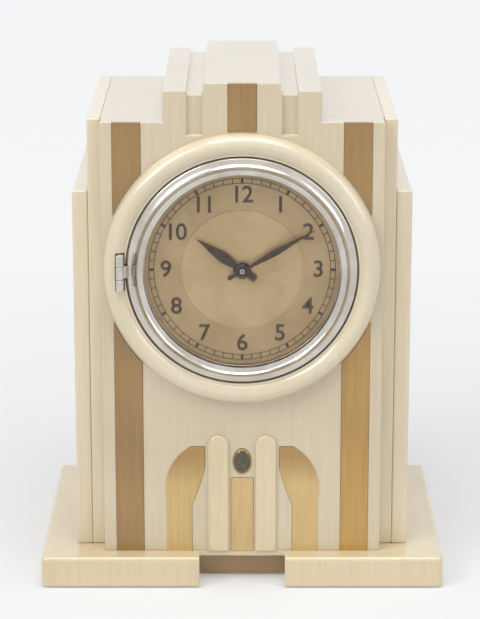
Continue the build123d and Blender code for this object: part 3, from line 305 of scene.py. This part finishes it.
def spread(finish, pattern, low, high, start=0.3, end=0.7):
    """Numbers from low to high as a pattern goes from start to end."""
    span = add_node(finish, "ShaderNodeMapRange")
    for socket, value in (("From Min", start), ("From Max", end), ("To Min", low), ("To Max", high)):
        span.inputs[socket].default_value = value
    finish.node_tree.links.new(pattern, span.inputs["Value"])
    return span.outputs["Result"]


def tint(finish, pattern, first, second, start=0.3, end=0.7):
    """Colours between two as a pattern goes from start to end."""
    ramp = add_node(finish, "ShaderNodeValToRGB")
    for stop, place, colour in zip(ramp.color_ramp.elements, (start, end), (first, second)):
        stop.position = place
        stop.color = (*colour, 1)
    finish.node_tree.links.new(pattern, ramp.inputs["Fac"])
    return ramp.outputs["Color"]


def laid_over(finish, share, under, over, how="MIX"):
    """One colour laid over another by a share."""
    mix = add_node(finish, "ShaderNodeMix", data_type="RGBA", blend_type=how)
    for index, value in ((0, share), (6, under), (7, over)):
        if isinstance(value, float):
            mix.inputs[index].default_value = value
        elif isinstance(value, tuple):
            mix.inputs[index].default_value = (*value, 1)
        else:
            finish.node_tree.links.new(value, mix.inputs[index])
    return mix.outputs[2]


def connect(finish, shader, colour, roughness, height=None, strength=0.1, relief=0.1):
    """Link colour, roughness and a bump in mm to the shader."""
    links = finish.node_tree.links
    links.new(colour, shader.inputs["Base Color"])
    links.new(roughness, shader.inputs["Roughness"])
    if height is not None:
        bump = add_node(finish, "ShaderNodeBump")
        bump.inputs["Strength"].default_value = strength
        bump.inputs["Distance"].default_value = relief * mm
        links.new(height, bump.inputs["Height"])
        links.new(bump.outputs["Normal"], shader.inputs["Normal"])


def inside_arch(finish):
    """Painted shade: 1 on the walls of the arch in the plinth, where shade falls, and 0 elsewhere."""
    place = add_node(finish, "ShaderNodeSeparateXYZ")
    finish.node_tree.links.new(on_piece(finish), place.inputs["Vector"])
    shares = []
    arch_walls = (("X", 0.0, 21.1), ("Y", case_front + 3.5 * mm, 3.9), ("Z", 6.5 * mm, 6.7))
    for axis, middle, reach in arch_walls:
        near = add_node(finish, "ShaderNodeMath", operation="COMPARE")
        near.inputs[1].default_value = middle
        near.inputs[2].default_value = reach * mm
        finish.node_tree.links.new(place.outputs[axis], near.inputs[0])
        shares.append(near.outputs["Value"])
    for share in shares[1:]:
        both = add_node(finish, "ShaderNodeMath", operation="MULTIPLY")
        finish.node_tree.links.new(shares[0], both.inputs[0])
        finish.node_tree.links.new(share, both.inputs[1])
        shares[0] = both.outputs["Value"]
    return shares[0]


def lacquered(name, deep, light, grain_share, head=None, arch=None):
    """Glossy coloured lacquer over upright wood grain.

    A head is a deeper colour above the bend of a leaf, and an arch is painted shade, a dark brown laid on
    the arch's walls.
    """
    finish, shader = new_finish(name, Coat_Weight=1.0, Coat_Roughness=0.08, Coat_IOR=1.6)
    clouds = cloud(finish, on_piece(finish), 17, detail=1.5)
    grain = cloud(finish, on_piece(finish, stretch=(1, 1, 0.05)), 520, detail=6, distortion=0.3)
    pores = cloud(finish, on_piece(finish, stretch=(1, 1, 0.09)), 1900, detail=2)
    body = tint(finish, clouds, deep, light)
    if head:
        place = add_node(finish, "ShaderNodeSeparateXYZ")
        finish.node_tree.links.new(on_piece(finish), place.inputs["Vector"])
        in_head = spread(finish, place.outputs["Z"], 0.0, 1.0, *leaf_head_heights)
        body = laid_over(finish, in_head, body, head)
    # Painted shade: the walls of the arch under the plinth are laid over with a dark brown.
    if arch:
        body = laid_over(finish, inside_arch(finish), body, arch)
    streaks = tint(finish, grain, (0.86, 0.80, 0.70), (1, 1, 1), 0.32, 0.6)
    colour = laid_over(finish, grain_share, body, streaks, "MULTIPLY")
    connect(finish, shader, colour, spread(finish, pores, 0.27, 0.36), pores, 0.12, 0.12)
    return finish


def oiled_wood(name, dark, light):
    """Bare oiled wood with growth rings, fibres and open pores."""
    finish, shader = new_finish(name, Coat_Weight=0.05)
    wander = cloud(finish, on_piece(finish, stretch=(1, 1, 0.12)), 38, detail=3, distortion=0.8)
    fibres = cloud(finish, on_piece(finish, stretch=(1, 1, 0.03)), 1300, detail=5)
    rings = add_node(finish, "ShaderNodeTexWave", wave_type="BANDS", bands_direction="X")
    rings.inputs["Scale"].default_value = 13
    rings.inputs["Distortion"].default_value = 16
    rings.inputs["Detail"].default_value = 3
    rings.inputs["Detail Scale"].default_value = 0.35
    finish.node_tree.links.new(on_piece(finish, stretch=(1, 1, 0.16)), rings.inputs["Vector"])
    body = tint(finish, rings.outputs["Fac"], dark, light, 0.1, 0.9)
    body = laid_over(finish, 0.5, body, tint(finish, wander, dark, light))
    colour = laid_over(finish, 0.5, body, tint(finish, fibres, (0.72, 0.62, 0.5), (1, 1, 1)), "MULTIPLY")
    connect(finish, shader, colour, spread(finish, fibres, 0.42, 0.62), fibres, 0.3, 0.12)
    return finish


def metal(name, deep, light, rough, brush=(1, 1, 1), brush_scale=2600, coat=0.0):
    """Metal with fine tool marks, a little tarnish and uneven gloss."""
    finish, shader = new_finish(name, Metallic=1.0, Coat_Weight=coat)
    tarnish = cloud(finish, on_piece(finish), 70, detail=5, distortion=0.4)
    marks = cloud(finish, on_piece(finish, stretch=brush), brush_scale, detail=2)
    colour = tint(finish, tarnish, deep, light, 0.25, 0.6)
    gloss = spread(finish, marks, rough * 0.8, rough * 1.35)
    connect(finish, shader, colour, gloss, marks, 0.08, 0.03)
    return finish


def copper(name, deep, light, line_pitch):
    """Satin copper-tan lacquer over fine turned lines, with an uneven tint and fine specks."""
    finish, shader = new_finish(name, Metallic=0.35, Coat_Weight=0.25, Coat_Roughness=0.2)
    middle = (0, 0, -dial_z)
    lines = add_node(finish, "ShaderNodeTexWave", wave_type="RINGS", rings_direction="Y")
    lines.inputs["Scale"].default_value = line_pitch
    lines.inputs["Distortion"].default_value = 0.6
    lines.inputs["Detail Scale"].default_value = 40
    finish.node_tree.links.new(on_piece(finish, move=middle), lines.inputs["Vector"])
    age = cloud(finish, on_piece(finish), 60, detail=6, distortion=0.5)
    specks = cloud(finish, on_piece(finish), 1500, detail=2)
    body = tint(finish, age, deep, light, 0.3, 0.65)
    dust = tint(finish, specks, (0.7, 0.62, 0.52), (1, 1, 1), 0.3, 0.5)
    colour = laid_over(finish, 0.25, body, dust, "MULTIPLY")
    connect(finish, shader, colour, spread(finish, age, 0.34, 0.48), lines.outputs["Fac"], 0.2, 0.05)
    return finish


def fuzzy_felt():
    """Pressed wool felt."""
    finish, shader = new_finish("green felt", Sheen_Weight=0.4, Sheen_Roughness=0.5)
    fibres = cloud(finish, on_piece(finish), 1800, detail=6, distortion=1.5)
    tufts = cloud(finish, on_piece(finish), 320, detail=3)
    colour = tint(finish, tufts, (0.035, 0.075, 0.045), (0.07, 0.13, 0.08))
    connect(finish, shader, colour, spread(finish, fibres, 0.85, 1.0), fibres, 0.7, 0.3)
    return finish


def glazed_oval():
    """Dark olive glaze with uneven pools of deeper colour."""
    finish, shader = new_finish("dark glazed oval", Coat_Weight=0.8, Coat_Roughness=0.04)
    pools = cloud(finish, on_piece(finish), 260, detail=4, distortion=0.8)
    colour = tint(finish, pools, (0.035, 0.028, 0.009), (0.095, 0.078, 0.030))
    connect(finish, shader, colour, spread(finish, pools, 0.12, 0.25), pools, 0.1, 0.1)
    return finish


def paint(name, deep, light, rough):
    """Even dark paint with a faint brush texture."""
    finish, shader = new_finish(name, Coat_Weight=0.3, Coat_Roughness=0.15)
    mottle = cloud(finish, on_piece(finish), 420, detail=4)
    brush = cloud(finish, on_piece(finish, stretch=(1, 1, 0.3)), 2400, detail=2)
    colour = tint(finish, mottle, deep, light)
    connect(finish, shader, colour, spread(finish, mottle, rough, rough * 1.4), brush, 0.15, 0.04)
    return finish


def clear_glass():
    """Clear domed glass that mirrors more towards its edge."""
    finish, shader = new_finish("clock glass", IOR=1.5, Transmission_Weight=1.0)
    smears = cloud(finish, on_piece(finish), 45, detail=4, distortion=1.2)
    colour = tint(finish, smears, (0.93, 0.95, 0.94), (0.98, 0.99, 0.985))
    edge = add_node(finish, "ShaderNodeLayerWeight")
    edge.inputs["Blend"].default_value = 0.25
    links = finish.node_tree.links
    links.new(colour, shader.inputs["Base Color"])
    links.new(spread(finish, smears, 0.015, 0.05), shader.inputs["Roughness"])
    links.new(spread(finish, edge.outputs["Facing"], 0.12, 0.5, 0.0, 1.0), shader.inputs["Alpha"])
    return finish


# The front, side and plinth lacquers are lit and shaded copies of one ivory lacquer: the front copy is
# darker as painted shade, the side and plinth copies are lighter as painted light, and the plinth copy is
# also more golden.
shaded_front_ivory = lacquered("ivory lacquer, shaded front copy", (0.605, 0.510, 0.345), (0.655, 0.565, 0.400), 0.3)
lit_side_ivory = lacquered("ivory lacquer, lit side copy", (0.720, 0.615, 0.425), (0.770, 0.670, 0.480), 0.3)
lit_plinth_ivory = lacquered(
    "golden ivory lacquer, lit plinth copy",
    (0.680, 0.560, 0.345),
    (0.730, 0.610, 0.395),
    0.35,
    # the arch colour is painted shade in the arch under the case
    arch=(0.36, 0.21, 0.07),
)
ring_ivory = lacquered("ivory ring lacquer", (0.675, 0.580, 0.405), (0.720, 0.630, 0.455), 0.2)
brown_ochre = lacquered("brown ochre inlay", (0.270, 0.143, 0.028), (0.360, 0.205, 0.047), 0.8)
# The golden ochre is the brown ochre lit brighter: painted light on the right lower strip. The oval's
# collar is golden ochre too.
golden_ochre = lacquered("golden ochre inlay", (0.410, 0.225, 0.028), (0.520, 0.303, 0.050), 0.8)
pale_ochre = lacquered(
    "pale ochre leaf",
    (0.550, 0.365, 0.120),
    (0.650, 0.450, 0.170),
    0.6,
    head=(0.400, 0.225, 0.045),
)
band_ochre = lacquered("pale ochre band", (0.560, 0.375, 0.135), (0.650, 0.455, 0.185), 0.6)
beech = oiled_wood("oiled beech", (0.30, 0.175, 0.085), (0.47, 0.31, 0.17))
oval_glaze = glazed_oval()
felt = fuzzy_felt()
nickel = metal("polished nickel", (0.52, 0.475, 0.415), (0.67, 0.635, 0.58), 0.14)
glass = clear_glass()
dial_copper = copper("copper dial", (0.450, 0.317, 0.159), (0.545, 0.398, 0.218), 900)
chapter_copper = copper("copper chapter ring", (0.385, 0.268, 0.134), (0.480, 0.348, 0.192), 1500)
hand_brown = paint("brown hand lacquer", (0.030, 0.015, 0.009), (0.062, 0.032, 0.019), 0.25)
figure_brown = paint("brown figure paint", (0.050, 0.032, 0.020), (0.085, 0.055, 0.034), 0.4)
brass = metal("rolled brass", (0.56, 0.38, 0.15), (0.74, 0.54, 0.26), 0.27, (1, 1, 0.05))
steel = metal("turned steel", (0.42, 0.42, 0.43), (0.56, 0.56, 0.57), 0.25, (1, 0.05, 1))
blued = metal("blued spring steel", (0.05, 0.07, 0.18), (0.10, 0.14, 0.30), 0.22, (1, 0.05, 1))

node_finishes = {
    "ivory_lacquer": shaded_front_ivory,
    "ochre_inlay": golden_ochre,
    "bare_wood": beech,
    "dark_oval": oval_glaze,
    "felt": felt,
    "nickel": nickel,
    "glass": glass,
    "dial_copper": dial_copper,
    "hand_brown": hand_brown,
    "brass": brass,
    "steel": steel,
    "blue_steel": blued,
}
for part in frame["record"]["subparts"]:
    carried = cad[part["node"]]
    carried.data.materials.clear()
    carried.data.materials.append(node_finishes[part["material_slot"]])

# Boards of the case
eased_board("plinth", 0.7, lit_plinth_ivory)
for node in ("left_side", "right_side", "left_buttress", "right_buttress"):
    eased_board(node, 0.8, lit_side_ivory)
for node in ("left_pilaster", "right_pilaster"):
    eased_board(node, 0.2, lit_plinth_ivory)
for node, width in (("front_panel", 0.45), ("roof_board", 0.5), ("tower_block", 0.5)):
    eased_board(node, width, shaded_front_ivory)
for node, width in (("back_frame", 0.6), ("rear_door", 0.8)):
    eased_board(node, width, beech)
eased_board("foot_pads", 0.5, felt)
for node, width in (
    ("turn_button", 0.35),
    ("winding_key", 0.4),
    ("setting_knob", 0.2),
    ("door_hinge_pins", 0.2),
):
    eased_board(node, width, brass)
for node, width in (("bezel_hinge", 0.25), ("bezel_hinge_pin", 0.2), ("glass_retainer", 0.2)):
    eased_board(node, width, nickel)


# Ochre inlays, with a raised edge and a sunk field
strip_border, strip_sink = 0.8, 0.22
leaf_border, leaf_sink = 1.2, 0.24


def ring_arc(x_start, x_end, above):
    """Points along the edge of the ring moulding, seen from above or below the dial."""
    radius = ring_outer + 0.8
    centre = dial_z / mm
    points = []
    for step in range(6):
        x = x_start + (x_end - x_start) * step / 5
        rise = sqrt(radius**2 - x**2)
        points.append((x, centre + rise if above else centre - rise))
    return points


def inlay(node, outline, border, sink, finish):
    """One inlay with a raised border, let into the front board."""
    low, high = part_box(node)
    depth = (high.y - low.y) / mm
    back = (case_front - high.y) / mm
    piece = cut_out(node + "_made", outline, back, depth)
    sink_field(piece, border, sink)
    ease(piece, 0.07, segments=2)
    dress(piece, finish, "case", node)


# Painted light: the left lower strip takes the darker brown ochre as painted shade and the right lower
# strip the brighter golden ochre as painted light, though both are one ochre.
for side, lit_or_shaded_foot_finish in (("left", brown_ochre), ("right", golden_ochre)):
    low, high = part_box(f"upper_{side}_inlay")
    x_low, x_high, top = low.x / mm, high.x / mm, high.z / mm
    strip = ring_arc(x_low, x_high, True) + [(x_high, top), (x_low, top)]
    inlay(f"upper_{side}_inlay", strip, strip_border, strip_sink, brown_ochre)
    low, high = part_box(f"lower_{side}_inlay")
    x_low, x_high, foot = low.x / mm, high.x / mm, low.z / mm
    strip = ring_arc(x_low, x_high, False) + [(x_high, foot), (x_low, foot)]
    inlay(f"lower_{side}_inlay", strip, strip_border, strip_sink, lit_or_shaded_foot_finish)
    low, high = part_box(f"{side}_leaf_inlay")
    sign = 1 if side == "right" else -1
    far, near = max(abs(low.x), abs(high.x)) / mm, min(abs(low.x), abs(high.x)) / mm
    foot, tip = low.z / mm, high.z / mm
    leaf = (
        [(near + 6.4, foot), (far, foot)]
        + arc_through((far, foot + 28.0), (far - 2.6, foot + 45.0), (near + 6.6, tip), 14)
        + [(near, tip)]
        + arc_through((near, tip - 11.0), (near + 2.8, foot + 33.6), (near + 6.4, tip - 30.0), 10)
    )
    outline = [(sign * x, z) for x, z in leaf]
    inlay(f"{side}_leaf_inlay", outline, leaf_border, leaf_sink, pale_ochre)

low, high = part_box("crown_inlay")
half, top = high.x / mm, high.z / mm
outline = ring_arc(-half, half, True) + [(half, top), (-half, top)]
inlay("crown_inlay", outline, strip_border, strip_sink, brown_ochre)
low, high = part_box("centre_inlay")
half, top, foot = high.x / mm, high.z / mm, low.z / mm
outline = [(-half, foot), (half, foot), (half, top), (-half, top)]
inlay("centre_inlay", outline, leaf_border, leaf_sink, band_ochre)

# Oval boss: a domed oval in a thin golden ochre collar
low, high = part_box("oval_boss")
oval_x, oval_z = (high.x - low.x) / 2, (high.z - low.z) / 2
oval_middle = Vector((0, case_front, (low.z + high.z) / 2))
bpy.ops.mesh.primitive_uv_sphere_add(segments=48, ring_count=24, radius=1, location=oval_middle)
boss = bpy.context.object
boss.name = "oval_boss_made"
boss.scale = (oval_x * 0.93, (high.y - low.y) - 2.5 * mm, oval_z * 0.94)
settle(boss)
polish(boss)
dress(boss, oval_glaze, "case", "oval_boss")
bpy.ops.mesh.primitive_torus_add(
    major_segments=72,
    minor_segments=12,
    major_radius=1,
    minor_radius=0.1,
    location=oval_middle,
    rotation=(pi / 2, 0, 0),
)
collar = bpy.context.object
collar.name = "oval_collar"
collar.scale = (oval_x * 0.9, oval_z * 0.9, 6 * mm)
settle(collar)
polish(collar)
dress(collar, golden_ochre, "case")

# Ring moulding round the bezel, with a notch for the hinge
ring = turned(
    "dial_ring_made",
    [(0, 56), (4.3, 56), (4.75, 56.15), (5.0, 56.6), (5.0, 57.2), (5.35, 57.45)]
    + bow((5.45, 57.6), (7.0, 61.7), -0.35, 8)[1:]
    + bow((7.0, 61.7), (2.9, 66.2), -1.0, 12)[1:]
    + [(2.4, 66.45), (2.0, 66.5), (0, 66.5)],
)
hinge_low, hinge_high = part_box("bezel_hinge")
notch_middle = ((hinge_low.x + hinge_high.x) / 2, hinge_low.y + 1.0 * mm, dial_z)
bpy.ops.mesh.primitive_cube_add(size=1, location=notch_middle)
notch = bpy.context.object
notch_play = 0.8 * mm
hinge_size = hinge_high - hinge_low
notch.scale = (hinge_size.x + notch_play, 2 * hinge_size.y, hinge_size.z + notch_play)
settle(notch)
shape(ring, "BOOLEAN", object=notch, operation="DIFFERENCE", solver="EXACT")
bpy.data.objects.remove(notch)
polish(ring, 40)
dress(ring, ring_ivory, "case", "dial_ring")

# Bezel, its hinge arm and its domed glass
bezel = turned(
    "bezel_made",
    [(6.6, 47.5), (5.8, 47.5), (5.8, 50.0), (2.8, 50.0), (2.8, 51.2), (5.8, 51.2), (4.5, 54.3), (0.4, 54.3)]
    + [(0.4, 55.4), (3.9, 55.5), (4.3, 55.35), (4.5, 55.1), (4.7, 55.1)]
    + bow((4.9, 55.3), (8.0, 50.6), -1.0, 12)[1:]
    + bow((8.0, 50.6), (6.8, 47.55), -0.62, 10)[1:],
)
knuckle_radius = 1.9 * mm
bpy.ops.mesh.primitive_cylinder_add(
    vertices=32,
    radius=knuckle_radius,
    depth=6.0 * mm,
    location=(hinge_low.x + knuckle_radius, case_front - 8.2 * mm, dial_z),
)
knuckle = bpy.context.object
settle(knuckle)
ease(knuckle, 0.25)
bpy.ops.mesh.primitive_cube_add(size=1, location=(-56.3 * mm, case_front - 6.0 * mm, dial_z))
arm = bpy.context.object
arm.scale = (4.2 * mm, 1.3 * mm, 5.8 * mm)
arm.rotation_euler = (0, 0, radians(38))
settle(arm)
ease(arm, 0.25)
bezel = join([bezel, knuckle, arm], "bezel_made")
polish(bezel)
dress(bezel, nickel, "bezel", "bezel")

pane = turned(
    "glass_made",
    [(5.8, 50.0)]
    + bow((5.8, 47.0), (9.8, 0.0), -0.9, 24)
    + bow((8.2, 0.0), (4.2, 45.4), 0.9, 24)
    + [(4.2, 50.0)],
)
polish(pane)
dress(pane, glass, "bezel", "glass")

# Dial: sunk centre with turned steps, a raised chapter ring, minute bars and figures
dial_front = (case_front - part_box("dial")[0].y) / mm
centre_disc = turned(
    "dial_centre",
    [(dial_front - 0.3, 3.3), (dial_front + 0.12, 3.3), (dial_front + 0.2, 3.8), (dial_front + 0.2, 8.0)]
    + [(dial_front + 0.08, 8.4), (dial_front + 0.08, 29.0), (dial_front - 0.3, 29.0)],
)
polish(centre_disc, 30)
dress(centre_disc, dial_copper, "case")
chapter = turned(
    "chapter_ring",
    [(dial_front - 0.3, 29.4), (dial_front + 0.3, 29.4)]
    + [(dial_front + 0.45, 29.8), (dial_front + 0.45, 30.6)]
    + [(dial_front + 0.25, 31.0), (dial_front + 0.25, 46.2)]
    + [(dial_front + 0.4, 46.5), (dial_front + 0.4, 47.2)]
    + [(dial_front + 0.2, 47.4), (dial_front + 0.2, 48.5), (dial_front - 0.3, 48.5)],
)
polish(chapter, 30)
dress(chapter, chapter_copper, "case")


def bars_round_dial(name, count, width, length, radius, height):
    """One raised bar, spun round the dial into a ring of bars."""
    proud = case_front - (dial_front + height / 2) * mm
    bpy.ops.mesh.primitive_cube_add(size=1, location=(0, proud, dial_z + radius * mm))
    bars = bpy.context.object
    bars.name = name
    bars.scale = (width * mm, height * mm, length * mm)
    settle(bars)
    shape(bars, "BEVEL", width=0.05 * mm, segments=1)
    alone(bars)
    bpy.ops.object.mode_set(mode="EDIT")
    bpy.ops.mesh.select_all(action="SELECT")
    bpy.ops.mesh.spin(
        steps=count - 1,
        dupli=True,
        angle=2 * pi * (count - 1) / count,
        center=(0, 0, dial_z),
        axis=(0, 1, 0),
    )
    bpy.ops.object.mode_set(mode="OBJECT")
    return bars


def track_line(name, radius):
    """A thin raised line round the dial."""
    back, top = dial_front, dial_front + 0.4
    section = [(back, radius - 0.2), (top, radius - 0.15), (top, radius + 0.15), (back, radius + 0.2)]
    return turned(name, section)


track_circle = 43.6
track_half_width = 1.2
minute_track = join(
    [
        bars_round_dial("minute_bars", 60, 0.42, 2.0, track_circle, 0.42),
        bars_round_dial("five_minute_bars", 12, 1.3, 2.2, track_circle, 0.46),
        track_line("inner_line", track_circle - track_half_width),
        track_line("outer_line", track_circle + track_half_width),
    ],
    "minute_track",
)
polish(minute_track, 30)
dress(minute_track, figure_brown, "case")

figure_circle = 36.6 * mm
figure_height = 11.4 * mm
figure_y = case_front - (dial_front + 0.32) * mm
figures = []
for hour in range(1, 13):
    angle = radians(30 * hour)
    place = (figure_circle * sin(angle), figure_y, dial_z + figure_circle * cos(angle))
    bpy.ops.object.text_add(location=place, rotation=(pi / 2, 0, 0))
    figure = bpy.context.object
    figure.data.body = str(hour)
    figure.data.size = figure_height
    figure.data.align_x = "CENTER"
    figure.data.align_y = "CENTER"
    figure.data.extrude = 0.12 * mm
    figure.data.offset = 0.1 * mm
    figure.data.bevel_depth = 0.05 * mm
    figure.data.bevel_resolution = 1
    figure.data.resolution_u = 5
    figure.data.space_character = 0.92
    bpy.ops.object.convert(target="MESH")
    settle(bpy.context.object)
    figures.append(bpy.context.object)
hour_figures = join(figures, "hour_figures")
polish(hour_figures)
dress(hour_figures, figure_brown, "case")


# Hands with swelling blades, round hubs and a turned nut
def hand(node, length, width, belly, hub, back, thickness, angle, body):
    """A hand whose blade swells to its belly and runs to a point, with a short tail and a round hub."""
    right = []
    for step in range(25):
        share = step / 24
        swell = sin(pi * share / belly / 2) ** 2 if share < belly else (1 - share) / (1 - belly)
        neck = 0.4 if share < belly else 0.0
        right.append((max(width / 2 * (neck + (1 - neck) * swell), 0.12), length * share))
    tail = [(0.18 * width, 0.0), (0.34 * width, -7.2), (0.2 * width, -8.0)]
    half_outline = list(reversed(tail)) + right[1:]
    outline = half_outline + [(-x, z) for x, z in reversed(half_outline)]
    turn = -radians(angle)
    placed = [(x * cos(turn) - z * sin(turn), x * sin(turn) + z * cos(turn)) for x, z in outline]
    blade = cut_out(node + "_blade", placed, back, thickness, middle=(0, dial_z / mm))
    shape(
        blade,
        "BEVEL",
        width=0.14 * mm,
        segments=2,
        limit_method="ANGLE",
        angle_limit=radians(60),
        use_clamp_overlap=False,
    )
    hub_back, blade_front = back - 0.05, back + thickness
    collet = turned(
        node + "_hub",
        [(hub_back, 1.9), (hub_back, hub), (back + thickness * 0.6, hub), (blade_front + 0.15, hub - 0.4)]
        + [(blade_front + 0.2, hub - 1.0), (blade_front + 0.05, hub - 1.3), (blade_front + 0.05, 1.9)],
        steps=64,
    )
    made = join([blade, collet], node + "_made")
    polish(made)
    dress(made, hand_brown, body, node)


hour_angle, minute_angle = 305, 60
hand("hour_hand", 27.0, 5.4, 0.42, 4.2, 2.2, 0.5, hour_angle, "hour_hand")
hand("minute_hand", 40.0, 3.2, 0.5, 3.4, 3.9, 0.5, minute_angle, "minute_hand")
nut = turned(
    "centre_nut",
    [(4.5, 0.0), (4.5, 2.1), (4.9, 2.1)] + bow((5.0, 2.0), (5.6, 0.0), -0.25, 8),
    steps=48,
)
polish(nut)
dress(nut, hand_brown, "minute_hand")


# Table, lamps, backdrop and camera
def soft_lamp(name, place, aim, size, power, colour):
    """A soft square lamp."""
    bpy.ops.object.light_add(type="AREA", location=place)
    lamp = bpy.context.object
    lamp.name = name
    lamp.data.shape = "SQUARE"
    lamp.data.size = size
    lamp.data.energy = power
    lamp.data.color = colour
    lamp.rotation_euler = (Vector(aim) - Vector(place)).to_track_quat("-Z", "Y").to_euler()


soft_lamp("window_light", (-1.3, -1.1, 1.45), (0, 0, 0.12), 1.1, 18, (1.0, 0.985, 0.96))
soft_lamp("far_light", (1.5, -1.0, 0.9), (0, 0, 0.12), 1.0, 6.5, (0.96, 0.98, 1.0))
soft_lamp("top_light", (0.1, -0.45, 1.7), (0, 0, 0.1), 1.2, 15, (1, 1, 1))


def seen_directly(tree):
    """1 where the camera, a mirror or a pane of glass looks at the surface, and 0 for its light."""
    rays = tree.nodes.new("ShaderNodeLightPath")
    either = tree.nodes.new("ShaderNodeMath")
    either.operation = "MAXIMUM"
    tree.links.new(rays.outputs["Is Camera Ray"], either.inputs[0])
    tree.links.new(rays.outputs["Is Glossy Ray"], either.inputs[1])
    any_ray = tree.nodes.new("ShaderNodeMath")
    any_ray.operation = "MAXIMUM"
    tree.links.new(either.outputs[0], any_ray.inputs[0])
    tree.links.new(rays.outputs["Is Transmission Ray"], any_ray.inputs[1])
    return any_ray.outputs[0]


backdrop_white = (0.925, 0.935, 0.955, 1)
world = bpy.data.worlds.new("studio")
bpy.context.scene.world = world
world.use_nodes = True
backdrop = world.node_tree.nodes["Background"]
backdrop.inputs["Color"].default_value = backdrop_white
strength = world.node_tree.nodes.new("ShaderNodeMapRange")
strength.inputs["To Min"].default_value = 0.42
strength.inputs["To Max"].default_value = 1.0
world.node_tree.links.new(seen_directly(world.node_tree), strength.inputs["Value"])
world.node_tree.links.new(strength.outputs["Result"], backdrop.inputs["Strength"])


def pale_table():
    """The white table top, which fades into the backdrop far from the clock."""
    finish, shader = new_finish("white table top")
    clouds = cloud(finish, on_piece(finish), 3, detail=2)
    colour = tint(finish, clouds, (0.80, 0.805, 0.815), (0.825, 0.83, 0.84))
    connect(finish, shader, colour, spread(finish, clouds, 0.6, 0.7))
    shader.inputs["Specular IOR Level"].default_value = 0.2
    tree = finish.node_tree
    glow = tree.nodes.new("ShaderNodeEmission")
    glow.inputs["Color"].default_value = backdrop_white
    distance = tree.nodes.new("ShaderNodeVectorMath")
    distance.operation = "LENGTH"
    tree.links.new(on_piece(finish), distance.inputs[0])
    fade = spread(finish, distance.outputs["Value"], 0.3, 0.95, 0.1, 0.6)
    share = tree.nodes.new("ShaderNodeMath")
    share.operation = "MULTIPLY"
    tree.links.new(fade, share.inputs[0])
    tree.links.new(seen_directly(tree), share.inputs[1])
    surface = tree.nodes.new("ShaderNodeMixShader")
    tree.links.new(share.outputs[0], surface.inputs["Fac"])
    tree.links.new(shader.outputs["BSDF"], surface.inputs[1])
    tree.links.new(glow.outputs["Emission"], surface.inputs[2])
    tree.links.new(surface.outputs["Shader"], tree.nodes["Material Output"].inputs["Surface"])
    return finish


bpy.ops.mesh.primitive_plane_add(size=12)
table = bpy.context.object
table.name = "table_top"
table.data.materials.append(pale_table())

bpy.ops.object.camera_add(location=(-0.00104, -1.2115, 0.4527), rotation=(radians(74.78), 0, 0))
camera = bpy.context.object
camera.name = "camera"
camera.data.lens = 143.7
camera.data.sensor_width = 36
bpy.context.scene.camera = camera
bpy.context.scene.view_settings.view_transform = "Standard"
